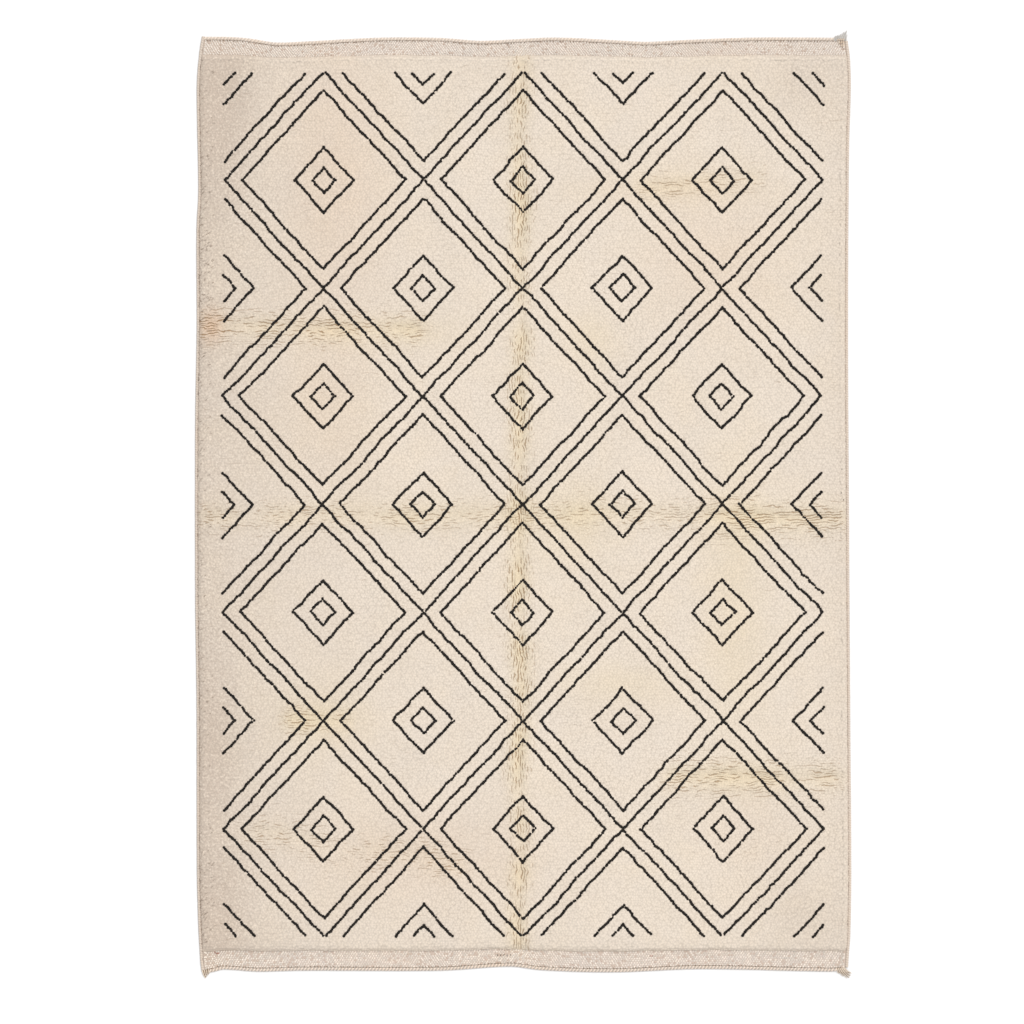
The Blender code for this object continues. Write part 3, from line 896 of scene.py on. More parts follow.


# The strokes are painted shade in the partings of the pile; their dent in the bump is real relief.
@dataclass(frozen=True)
class Streaks:
    """The shared group that draws the thin wavy strokes of parted pile along a crease, as a mask.

    Its input Strength holds how strong the strokes are lengthwise and crosswise, and the length of one.
    """

    NAME: ClassVar[str] = "streaks"
    spacing: float = 0.0084
    thickness: float = 0.25
    wave: float = 0.027
    wave_scale: float = 26.0
    wave_detail: float = 3.0
    ragged_scale: float = 700.0
    raggedness: float = 0.20
    row_step: float = 5.3
    gaps: float = 0.20
    present_from: float = 0.34
    present_to: float = 0.54
    fade_in: float = 4.0
    least_dark: float = 0.3
    boldness: float = 1.75

    def build(self) -> NodeTree:
        """The group: the strength in, the mask out."""
        s = Shader.group(self.NAME, "ShaderNodeTree")
        strength = s.input("Strength", "NodeSocketVector")
        spacing = s.input("Spacing", "NodeSocketFloat", self.spacing)
        thickness = s.input("Thickness", "NodeSocketFloat", self.thickness)
        wave = s.input("Wave", "NodeSocketFloat", self.wave)
        place = s.place()
        x, y, _ = s.parts(place)
        lengthwise, crosswise, stroke = s.parts(strength)
        shift = s.times(s.swing(s.noise(place, self.wave_scale, self.wave_detail)), wave)
        masks = []
        for share, across, along in ((lengthwise, x, y), (crosswise, y, x)):
            rows = s.math("DIVIDE", s.math("ADD", across, shift), spacing)
            row = s.math("ROUND", rows)
            ragged = s.times(s.swing(s.noise(place, self.ragged_scale, 1.0)), self.raggedness)
            beside = s.math("ADD", s.math("ABSOLUTE", s.math("SUBTRACT", rows, row)), ragged)
            point = s.vector(s.math("DIVIDE", along, stroke), s.times(row, self.row_step), 0.0)
            gap = s.times(s.math("SUBTRACT", share, 1.0), self.gaps)
            present = s.math("ADD", s.noise(point, 1.0, 0.0), gap)
            present = s.spread(present, self.present_from, self.present_to, 0.0, 1.0)
            present = s.times(present, s.times(share, self.fade_in, clamp=True))
            reach = s.times(present, thickness)
            drawn = s.math("DIVIDE", s.math("SUBTRACT", reach, beside), thickness, clamp=True)
            dark = s.math("ADD", self.least_dark, s.times(share, 1 - self.least_dark))
            masks.append(s.times(s.times(drawn, self.boldness, clamp=True), dark))
        s.output("Mask", "NodeSocketFloat", s.math("MAXIMUM", *masks))
        return s.tree


class Marks(Flag):
    """What a wool takes from the values that its points carry, and from how it is worked."""

    NONE = 0
    TINTED = auto()
    TONED = auto()
    STREAKED = auto()
    WOVEN = auto()
    WRAPPED = auto()


@dataclass(frozen=True)
class Wool:
    """One wool finish, as knotted, woven, twisted or wrapped."""

    name: str
    base: Colour
    warm: Colour
    cool: Colour
    clouds: float = 0.5
    grain: float = 0.10
    tone_share: float = 0.10
    # painted shade: how light a yarn stays at its root, where shade falls between tufts and between beads
    painted_root_shade: float = 0.70
    marks: Marks = Marks.NONE
    roughness: float = 0.92
    sheen: float = 0.15
    fibre_size: float = 0.0012
    fibre_tone: float = 0.30
    relief: float = 0.0009
    tint_share: float = 0.8
    mottle: float = 0.6
    cream: Colour = (0.800, 0.668, 0.465)
    grey: Colour = (0.570, 0.475, 0.395)
    pink: Colour = (0.770, 0.535, 0.370)
    # painted shade in the partings of the pile, drawn by the streaks
    painted_streak_shade: Colour = (0.340, 0.210, 0.110)
    painted_streak_shade_share: float = 0.90
    painted_streak_shade_depth: float = 1.6
    fleck: Colour = (0.420, 0.275, 0.195)
    fleck_share: float = 0.0
    fleck_cover: float = 0.6
    # the colour of painted shade, in the grooves between wraps and on steep sides
    valley: Colour = (0.330, 0.225, 0.155)
    # painted shade on a yarn's steep sides: how dark they get, from side_low to side_high of the upward
    # normal
    painted_side_shade: float = 0.0
    side_low: float = 0.25
    side_high: float = 0.85
    turn_length: float = 0.0075
    specular: float = 0.2
    bump: float = 0.8
    mottle_scale: float = 130.0
    weave_scale: float = 90.0
    weave_bend: float = 1.5
    weave_share: float = 0.6
    wrap_share: float = 0.5
    # painted shade in the grooves between a cord's wraps: how dark, and up to which phase
    wrap_shade: float = 0.35
    wrap_shade_to: float = -0.2

    def material(self) -> Material:
        """The finish as a material."""
        made = bpy.data.materials.new(self.name)
        made.use_nodes = True
        s = Shader(made.node_tree)
        shader = made.node_tree.nodes["Principled BSDF"]
        shader.inputs["Roughness"].default_value = self.roughness
        shader.inputs["Sheen Weight"].default_value = self.sheen
        shader.inputs["Specular IOR Level"].default_value = self.specular
        inputs = {"Base": opaque(self.base), "Warm": opaque(self.warm), "Cool": opaque(self.cool)}
        inputs |= {"Clouds": self.clouds, "Grain": self.grain}
        colour = self.shared(s, WoolTone.NAME, inputs).outputs["Colour"]
        fibres = self.shared(s, FibreRelief.NAME, {"Fibre Size": self.fibre_size}).outputs["Height"]
        colour = s.lit(colour, s.spread(fibres, 0.0, 1.0, 1 - self.fibre_tone, 1 + self.fibre_tone))
        colour, height = self.marks_and_painted_shade(s, colour, fibres)
        s.tree.links.new(colour, shader.inputs["Base Color"])
        bump = s.add("ShaderNodeBump", {"Height": height, "Distance": self.relief, "Strength": self.bump})
        s.tree.links.new(bump.outputs["Normal"], shader.inputs["Normal"])
        made.diffuse_color = opaque(self.base)
        return made

    @staticmethod
    def shared(s: Shader, name: str, inputs: dict[str | int, Any]) -> bpy.types.Node:
        """Places a shared group in a material, with the material's own values.

        Args:
            s: The material's tree.
            name: The group's name.
            inputs: Values or sockets for the group's inputs.

        Returns:
            The group's node.
        """
        return s.add("ShaderNodeGroup", inputs, node_tree=bpy.data.node_groups[name])

    # real tints, tones and flecks, and painted shade at roots, in partings, in wrap grooves and on steep
    # sides
    def marks_and_painted_shade(self, s: Shader, colour: Socket, height: Socket) -> tuple[Socket, Socket]:
        """Adds what the piece's own numbers say to its colour and its height.

        Args:
            s: The material's tree.
            colour: The wool's own colour.
            height: The fibres' height.

        Returns:
            The colour and the height with their marks.
        """
        if Marks.TINTED in self.marks:
            colour = self.tinted(s, colour)
        if Marks.TONED in self.marks:
            colour = self.toned(s, colour)
        if self.fleck_share:
            flecked = s.math("GREATER_THAN", s.carried("tone"), 1 - self.fleck_share)
            colour = s.mix(s.times(flecked, self.fleck_cover), colour, opaque(self.fleck))
        if Marks.STREAKED in self.marks:
            mask = self.shared(s, Streaks.NAME, {"Strength": s.carried("streaks", "Vector")}).outputs["Mask"]
            # painted shade where the pile parts, with a real dent in the bump
            colour = s.mix(s.times(mask, self.painted_streak_shade_share), colour, opaque(self.painted_streak_shade))
            height = s.math("SUBTRACT", height, s.times(mask, self.painted_streak_shade_depth))
        if Marks.WOVEN in self.marks:
            inputs = {"Vector": s.place(), "Scale": self.weave_scale, "Distortion": self.weave_bend}
            threads = s.add("ShaderNodeTexWave", inputs, bands_direction="Y").outputs[1]
            height = self.worked(s, height, threads, self.weave_share)
        if Marks.WRAPPED in self.marks:
            x, y, _ = s.parts(s.carried("round", "Vector"))
            turns = s.times(s.carried("run"), math.tau / self.turn_length)
            wraps = s.math("SINE", s.math("ADD", s.math("ARCTAN2", y, x), turns))
            height = self.worked(s, height, wraps, self.wrap_share)
            # painted shade in the grooves between the wraps
            shade = s.spread(wraps, -1.0, self.wrap_shade_to, self.wrap_shade, 0.0)
            colour = s.mix(shade, colour, opaque(self.valley))
        # painted shade on the steep sides, where less light falls
        if self.painted_side_shade:
            upward = s.parts(s.add("ShaderNodeTexCoord").outputs["Normal"])[2]
            side = s.spread(upward, self.side_low, self.side_high, self.painted_side_shade, 0.0)
            colour = s.mix(side, colour, opaque(self.valley))
        return colour, height

    def tinted(self, s: Shader, colour: Socket) -> Socket:
        """The colour with the rug's cream, grey and pink patches."""
        cream, grey, pink = s.parts(s.carried("tint", "Vector"))
        mottle = s.noise(s.place(), self.mottle_scale)
        mottle = s.spread(mottle, *NOISE_RANGE, 1 - self.mottle, 1 + self.mottle)
        grey = s.times(grey, mottle, clamp=True)
        for share, tint in ((grey, self.grey), (cream, self.cream), (pink, self.pink)):
            colour = s.mix(s.times(share, self.tint_share), colour, opaque(tint))
        return colour

    def toned(self, s: Shader, colour: Socket) -> Socket:
        """The colour with each yarn's own tone, and darker towards its root."""
        tone = s.times(s.swing(s.carried("tone")), self.tone_share)
        # painted shade, darker towards the root; the tone itself is the yarn's own
        root = s.math("ADD", self.painted_root_shade, s.times(s.carried("tip"), 1 - self.painted_root_shade))
        return s.lit(colour, s.times(s.math("ADD", tone, 1.0), root))

    @staticmethod
    def worked(s: Shader, height: Socket, thread: Socket, share: float) -> Socket:
        """The fibres' height mixed with the threads' height."""
        return s.math("ADD", s.times(height, 1 - share), s.times(thread, share))


IVORY = Wool(
    "ivory_pile", (0.822, 0.715, 0.600), (0.844, 0.722, 0.578), (0.812, 0.716, 0.618),
    grain=0.12, tone_share=0.05, painted_root_shade=0.78, relief=0.0013,
    marks=Marks.TINTED | Marks.TONED | Marks.STREAKED,
)
DARK = Wool(
    "dark_pile", (0.017, 0.014, 0.011), (0.023, 0.017, 0.012), (0.013, 0.011, 0.010),
    tone_share=0.9, painted_root_shade=0.45, sheen=0.2, fibre_tone=0.8, relief=0.0018, marks=Marks.TONED,
)
# darker than the tufts' wool: painted shade where the bed shows between the tufts
BED = Wool(
    "pile_bed", (0.650, 0.560, 0.468), (0.670, 0.567, 0.452), (0.640, 0.561, 0.480),
    grain=0.30, marks=Marks.TINTED | Marks.STREAKED,
)
WEAVE = Wool(
    "flat_weave", (0.665, 0.562, 0.487), (0.695, 0.562, 0.467), (0.645, 0.562, 0.507),
    marks=Marks.TINTED | Marks.WOVEN,
)
BEADED = Wool(
    "beaded_weave", (0.835, 0.755, 0.670), (0.85, 0.745, 0.63), (0.815, 0.750, 0.68),
    tone_share=0.34, painted_root_shade=0.95, fleck_share=0.13, marks=Marks.TONED,
)
HEAD_BEADED = replace(
    BEADED, name="head_beaded_weave",
    base=(0.81, 0.73, 0.65), warm=(0.825, 0.72, 0.615), cool=(0.79, 0.725, 0.66),
    tone_share=0.16, painted_root_shade=0.97, fleck_share=0.06,
)
CORD = Wool(
    "cord_wool", (0.71, 0.610, 0.520), (0.73, 0.595, 0.48), (0.68, 0.600, 0.53),
    tone_share=-0.24, painted_root_shade=1.0, marks=Marks.TONED, painted_side_shade=0.4, side_low=0.0, side_high=0.6,
)
FOOT_CORD = replace(
    CORD, name="foot_cord_wool",
    base=(0.67, 0.575, 0.490), warm=(0.69, 0.560, 0.45), cool=(0.64, 0.565, 0.50),
    tone_share=-0.42, painted_side_shade=0.6,
)
EDGE = Wool(
    "edge_wool", (0.66, 0.560, 0.470), (0.67, 0.550, 0.45), (0.63, 0.550, 0.48),
    marks=Marks.WRAPPED, painted_side_shade=0.6, side_low=0.0, side_high=0.55,
)
# a darker painted shade, and more of it, on the left cord's sides: a painted shadow outline along the left
# edge
LEFT_EDGE = replace(
    EDGE, name="left_edge_wool", valley=(0.300, 0.240, 0.195), painted_side_shade=0.85, side_low=0.15, side_high=0.72,
)
YARN = Wool(
    "warp_yarn", (0.800, 0.690, 0.560), (0.83, 0.680, 0.51), (0.75, 0.670, 0.57),
    painted_side_shade=0.9, side_low=0.20, side_high=0.85,
)
PALE_YARN = Wool(
    "pale_yarn", (0.600, 0.570, 0.530), (0.62, 0.570, 0.51), (0.57, 0.560, 0.54),
    painted_side_shade=0.4, side_low=0.10, side_high=0.70,
)
LOOP = Wool(
    "loop_yarn", (0.800, 0.640, 0.490), (0.82, 0.650, 0.50), (0.74, 0.600, 0.46),
    tone_share=0.3, marks=Marks.TONED,
)
STITCH = Wool(
    "stitch_thread", (0.370, 0.260, 0.185), (0.40, 0.26, 0.16), (0.33, 0.26, 0.20), marks=Marks.TONED
)
HAIR = Wool("hair", (0.340, 0.255, 0.190), (0.37, 0.25, 0.17), (0.31, 0.25, 0.20), marks=Marks.TONED)
RUST = Wool("rust_thread", (0.420, 0.130, 0.090), (0.46, 0.14, 0.08), (0.38, 0.13, 0.10), marks=Marks.TONED)
SOOT = Wool("soot_thread", (0.090, 0.060, 0.045), (0.11, 0.06, 0.04), (0.08, 0.06, 0.05), marks=Marks.TONED)


@dataclass(frozen=True)
class Lozenges:
    """The design: a trellis of nested lozenges, each line a single row of dark knots."""

    half_width: float = 0.930
    half_length: float = 1.345
    columns: int = 3
    rows: int = 4
    knot_pitch: float = 0.0065
    nested: float = 0.040
    centres: tuple[float, ...] = (0.30, 0.12)
    wobble: float = 0.0050
    wobble_size: float = 0.09
    jog: float = 0.0032
    jog_size: float = 0.022
    jitter: float = 0.0007
    seed: int = 3
    wobble_seeds: tuple[float, float] = (3.1, 8.7)
    jog_seeds: tuple[float, float] = (1.3, 6.4)

    def edge(self, start: tuple[float, float], end: tuple[float, float]) -> Numbers:
        """Places at an even pitch along one line, from its start until just before its end."""
        scale = np.array([self.half_width / self.columns, self.half_length / self.rows])
        first, last = np.array(start) * scale, np.array(end) * scale
        count = max(round(math.dist(first, last) / self.knot_pitch), 1)
        share = np.arange(count)[:, None] / count
        return first * (1 - share) + last * share

    def lines(self) -> list[Numbers]:
        """Every line of the design, before it wavers."""
        half_x, half_y = self.half_width / self.columns, self.half_length / self.rows
        inner = half_x * half_y / math.hypot(half_x, half_y)
        shares = (1 - self.nested / inner, *self.centres)
        lines = []
        for u in range(-self.columns - 1, self.columns + 2):
            for v in range(-self.rows - 1, self.rows + 2):
                if (u + v) % 2 == 0:
                    lines += [self.edge((u, v), (u + 1, v + 1)), self.edge((u, v), (u + 1, v - 1))[1:]]
                    continue
                for share in shares:
                    corners = [(u + share, v), (u, v + share), (u - share, v), (u, v - share)]
                    lines += [self.edge(a, b) for a, b in zip(corners, corners[1:] + corners[:1])]
        return lines

    def knots(self) -> Numbers:
        """The place of every dark knot on the straight rug, one row each."""
        rng = np.random.default_rng(self.seed)
        places = np.concatenate(self.lines())
        x, y = places[:, 0], places[:, 1]
        wobbles = [self.wobble * noise_at(x, y, self.wobble_size, seed) for seed in self.wobble_seeds]
        jogs = [self.jog * noise_at(x, y, self.jog_size, seed) for seed in self.jog_seeds]
        inside = (abs(x) < self.half_width) & (abs(y) < self.half_length)
        shift = np.stack(wobbles, axis=-1) + np.stack(jogs, axis=-1)
        moved = places + shift + rng.normal(0, self.jitter, places.shape)
        return moved[inside]


@dataclass(frozen=True)
class Tufts:
    """The size of one wool's cut tufts: a low cone over a ring, sunk into the wool beside it."""

    sides: int
    radius: float
    crown: float
    raised: float = 0.0


@dataclass
class Pile:
    """The knotted pile: one tuft for each knot, ivory or dark, in strips across the rug."""

    lie: Lie
    design: Lozenges = field(default_factory=Lozenges)
    ivory_tufts: Tufts = Tufts(5, 0.0070, 0.0029, 0.0005)
    dark_tufts: Tufts = Tufts(6, 0.0050, 0.0025, 0.0012)
    knot_width: float = 0.0081
    knot_length: float = 0.0079
    stagger: float = 0.5
    rim: float = 0.0004
    jitter: float = 0.0017
    line_cut: float = 0.0039
    line_clear: float = 0.0074
    line_reach: float = 0.0130
    floor_gap: float = 0.0006
    full_height: float = 0.0155
    least_share: float = 0.72
    radius_range: tuple[float, float] = (0.90, 1.12)
    rim_dome: float = 1.4
    dome_level: float = 0.4
    unevenness: float = 0.00014
    nap: tuple[float, float] = (0.02, -0.07)
    nap_swirl: float = 0.10
    swirl_size: float = 0.16
    swirl_seeds: tuple[float, float] = (1.7, 6.3)
    lean_spread: float = 0.03
    lean_limit: float = 0.50
    roundness: float = 0.28
    strips: int = 4
    seed: int = 11

    def lattice(self) -> Numbers:
        """The place of every ivory knot."""
        lie, rng = self.lie, np.random.default_rng(self.seed)
        across = 2 * (lie.body_side - self.rim)
        along = lie.pile_head - lie.pile_foot - 2 * self.rim
        middle = (lie.pile_head + lie.pile_foot) / 2
        columns, rows = round(across / self.knot_width), round(along / self.knot_length)
        column, row = (values.ravel() for values in np.meshgrid(np.arange(columns), np.arange(rows)))
        x = ((column + self.stagger / 2 + self.stagger * (row % 2)) / columns - 0.5) * across
        y = middle + ((row + 0.5) / rows - 0.5) * along
        kept = self.cleared(np.stack([x, y], axis=-1) + rng.normal(0, self.jitter, (len(x), 2)))
        kept[:, 0] = np.clip(kept[:, 0], -across / 2, across / 2)
        kept[:, 1] = np.clip(kept[:, 1], middle - along / 2, middle + along / 2)
        return kept

    def cleared(self, places: Numbers) -> Numbers:
        """The knots without those on a dark line, and with those beside it moved over to make room."""
        tree = kdtree.KDTree(len(self.dark_places))
        for i, place in enumerate(self.dark_places):
            tree.insert((*place, 0.0), i)
        tree.balance()
        kept = []
        stretch = (self.line_reach - self.line_clear) / (self.line_reach - self.line_cut)
        for place in places:
            nearest, _, distance = tree.find((*place, 0.0))
            if distance < self.line_cut:
                continue
            if distance < self.line_reach:
                target = self.line_clear + (distance - self.line_cut) * stretch
                knot = np.array(nearest[:2])
                place = knot + (place - knot) * target / distance
            kept.append(place)
        return np.array(kept)

    @cached_property
    def dark_places(self) -> Numbers:
        """The place of every dark knot."""
        return self.design.knots()

    def grown_at(self, places: Numbers, tufts: Tufts, seed: int) -> Growth:
        """What each tuft is like.

        Args:
            places: The knots' places on the straight rug, one row each.
            tufts: The size of the tufts.
            seed: Which random numbers they take.

        Returns:
            The middle of each tuft's ring as the rug lies, and the named values of each tuft.
        """
        lie, rng = self.lie, np.random.default_rng(seed)
        x, y = places.T
        count = len(x)
        height = lie.height(x, y)
        normal = lie.normal(x, y, height)
        swirls = [noise_at(x, y, self.swirl_size, swirl_seed) for swirl_seed in self.swirl_seeds]
        swirl = self.nap_swirl * np.stack(swirls, axis=-1)
        slope = normal[:, :2] / normal[:, 2:] + np.array(self.nap) + swirl
        slope += rng.normal(0, self.lean_spread, (count, 2))
        steep = np.linalg.norm(slope, axis=-1, keepdims=True)
        slope *= np.minimum(1, self.lean_limit / np.maximum(steep, LEAST_SLOPE))
        lean = np.column_stack([slope, np.ones(count)])
        share = np.clip(height / self.full_height, self.least_share, 1.0)
        radius = tufts.radius * share * rng.uniform(*self.radius_range, count)
        dome = 1 + self.rim_dome * (1 - np.clip(height / self.full_height, self.dome_level, 1.0))
        z = height - tufts.crown * dome + tufts.raised
        z += rng.uniform(-1, 1, count) * self.unevenness
        tilt = np.arctan(np.minimum(steep[:, 0], self.lean_limit))
        z = np.maximum(z, self.floor_gap + radius * np.sin(tilt))
        carried = {
            "lean": lean,
            "spin": rng.uniform(0, math.tau, count),
            "size": np.column_stack([radius, radius, dome]),
            "tone": rng.uniform(0, 1, count),
            "tint": lie.tints(x, y),
            "streaks": lie.streaks(x, y),
        }
        return lie.placed(x, y + lie.edge_shift(x, y), z), carried

    def build(self, tree: NodeTree, ivory: Material, dark: Material) -> list[Thing]:
        """Plants every tuft.

        Args:
            tree: The tree that plants small shapes.
            ivory: The ivory wool.
            dark: The dark wool.

        Returns:
            The strips of ivory pile from foot to head, and then the dark lines.
        """
        places = self.lattice()
        places = places[np.argsort(places[:, 1])]
        pieces = []
        for number, part in enumerate(np.array_split(places, self.strips), start=1):
            grown_at = self.grown_at(part, self.ivory_tufts, self.seed + number)
            pieces.append(self.planted(f"ivory_pile_{number}", grown_at, self.ivory_tufts, tree, ivory))
        grown_at = self.grown_at(self.dark_places, self.dark_tufts, self.seed)
        pieces.append(self.planted("dark_lines", grown_at, self.dark_tufts, tree, dark))
        return pieces

    def planted(self, name: str, grown_at: Growth, tufts: Tufts, tree: NodeTree, wool: Material) -> Thing:
        """Plants tufts as one piece.

        Args:
            name: The piece's name.
            grown_at: Where the tufts stand, and what each is like.
            tufts: The size of the tufts.
            tree: The tree that plants small shapes.
            wool: Their wool.

        Returns:
            The piece.
        """
        points, carried = grown_at
        values = {"Sides": tufts.sides, "Crown": tufts.crown, "Finish": wool}
        piece = grown(name, carrier_of_points(name, points, carried), tree, values)
        soften(piece, tufts.sides + 1, self.roundness)
        map_from_above(piece)
        return piece


@dataclass
class Cloth:
    """The woven cloth that carries the knots, with a flat-woven band at each end."""

    lie: Lie
    bed_drop: float = 0.0022
    band_drop: float = 0.0014
    field_step: float = 0.030
    crease_step: float = 0.012
    crease_spread: float = 0.040
    crease_lines_y: tuple[float, ...] = (-1.06, -0.85, -0.67, -0.037, 0.548, 0.998)
    table_size: int = 4001
    same_place: int = 5
    floor_level: float = 1e-5
    edge_upright: float = 0.2
    sharp_angle: float = math.radians(50)

    def stations(self, low: float, high: float, centres: tuple[float, ...]) -> Numbers:
        """Places from low to high, closer together at the rims and near each centre."""
        depths = self.lie.shoulder_depths
        line = np.linspace(low + depths[-1], high - depths[-1], self.table_size)
        density = np.full(line.size, 1 / self.field_step)
        for centre in centres:
            near = np.exp(-(((line - centre) / self.crease_spread) ** 2))
            density += near * (1 / self.crease_step - 1 / self.field_step)
        steps = (density[1:] + density[:-1]) / 2 * np.diff(line)
        count = np.concatenate([[0.0], np.cumsum(steps)])
        inner = np.interp(np.linspace(0, count[-1], round(count[-1]) + 1), count, line)
        rims = np.array(depths[:-1])
        return np.concatenate([low + rims, inner, high - rims[::-1]])

    def build(self, bed: Material, weave: Material) -> Thing:
        """Makes the cloth as one closed sheet.

        Args:
            bed: What shows between the tufts.
            weave: The flat-woven bands, the edges and the underside.

        Returns:
            The sheet.
        """
        lie = self.lie
        bm, heights = self.underside()
        made = bmesh.ops.extrude_face_region(bm, geom=bm.faces[:])["geom"]
        for vert in (item for item in made if isinstance(item, bmesh.types.BMVert)):
            vert.co.z = heights[self.key(vert)]
        low = [face for face in bm.faces if max(v.co.z for v in face.verts) < self.floor_level]
        bmesh.ops.dissolve_faces(bm, faces=low)
        bmesh.ops.recalc_face_normals(bm, faces=bm.faces[:])
        band_top = lie.band_height - self.band_drop / 2
        for face in bm.faces:
            flat_woven = max(v.co.z for v in face.verts) < band_top
            face.material_index = int(flat_woven or face.normal.z < self.edge_upright)
        mesh = bpy.data.meshes.new("rug_cloth")
        bm.to_mesh(mesh)
        bm.free()
        places = np.array([v.co for v in mesh.vertices])
        x, y = places[:, 0] + lie.middle_x, places[:, 1] + lie.middle_y
        carry(mesh, {"tint": lie.tints(x, y), "streaks": lie.streaks(x, y)})
        mesh.materials.append(bed)
        mesh.materials.append(weave)
        mesh.shade_smooth()
        mesh.set_sharp_from_angle(angle=self.sharp_angle)
        return in_scene("rug_cloth", mesh)

    def underside(self) -> tuple[bmesh.types.BMesh, dict[tuple[float, ...], float]]:
        """The cloth's flat underside as it lies, and the height of the cloth over each of its points."""
        lie = self.lie
        columns = self.stations(-lie.body_side, lie.body_side, (CREASES[0].start_x,))
        inner = self.stations(lie.pile_foot, lie.pile_head, self.crease_lines_y)
        rows = np.concatenate([[-lie.body_end], inner, [lie.body_end]])
        bm = bmesh.new()
        bmesh.ops.create_grid(bm, x_segments=len(columns) - 1, y_segments=len(rows) - 1, size=0.5)
        points = np.array([vert.co for vert in bm.verts]) + 0.5
        x = columns[np.round(points[:, 0] * (len(columns) - 1)).astype(int)]
        y = rows[np.round(points[:, 1] * (len(rows) - 1)).astype(int)]
        top = lie.height(x, y)
        inside = np.minimum(lie.pile_head - y, y - lie.pile_foot) > 0
        top -= np.where(inside, self.bed_drop, self.band_drop)
        shifted = y + lie.edge_shift(x, y)
        for vert, place in zip(bm.verts, lie.placed(x, shifted, np.zeros_like(x))):
            vert.co = place
        return bm, dict(zip(map(self.key, bm.verts), top))

    def key(self, vert: bmesh.types.BMVert) -> tuple[float, ...]:
        """A point's place, rounded so that the same point is found again."""
        return tuple(np.round(vert.co, self.same_place))


@dataclass(frozen=True)
class Sewing:
    """A row of short stitches along an edge: how they are spaced and sized, and how uneven they are."""

    margin: float
    pitch: float
    jitter: float
    outside: float
    outside_jitter: float
    slant: float
    slant_jitter: float
    radii: tuple[float, float]
    sides: int = 5
    reach: float = 0.0030
    lift: float = 0.0008

    def along(self, half: float, rng: np.random.Generator) -> Numbers:
        """Where the stitches are along an edge of this half length."""
        places = np.arange(-half + self.margin, half - self.margin, self.pitch)
        return places + rng.normal(0, self.jitter, len(places))

    def across(self, middle: float, count: int, rng: np.random.Generator) -> Numbers:
        """How far out each stitch is, about the line that they follow."""
        return middle + rng.normal(0, self.outside_jitter, count)

    def sewn(self, name: str, points: Numbers, heading: Numbers, rng: np.random.Generator,
             tree: NodeTree, thread: Material) -> Thing:
        """Sews the stitches.

        Args:
            name: The piece's name.
            points: The middle of each stitch.
            heading: Which way each runs.
            rng: Where their tones come from.
            tree: The tree that plants small shapes.
            thread: Their thread.

        Returns:
            The stitches as one piece.
        """
        count = len(points)
        size = np.tile((*self.radii, 1.0), (count, 1))
        tone = rng.uniform(0, 1, count)
        carried = {"lean": level_ways(heading), "spin": heading, "size": size, "tone": tone}
        values = {"Sides": self.sides, "Crown": self.reach, "Root": self.reach, "Finish": thread}
        return grown(name, carrier_of_points(name, points, carried), tree, values)


CORD_SEWING = Sewing(0.010, 0.0103, 0.0014, -0.0006, 0.0006, 1.1, 0.25, (0.0014, 0.0015))
EDGE_SEWING = Sewing(0.020, 0.0110, 0.0022, 0.0006, 0.0008, 0.25, 0.30, (0.0008, 0.0008))


class BeadRows(NamedTuple):
    """How one band's beads are laid: the pitch of their rows, the length of a bead and their wool."""

    pitch: float
    bead_length: float
    wool: Wool


BEAD_ROWS = {
    End.FOOT: BeadRows(0.0060, 0.0078, BEADED),
    End.HEAD: BeadRows(0.0053, 0.0084, HEAD_BEADED),
}


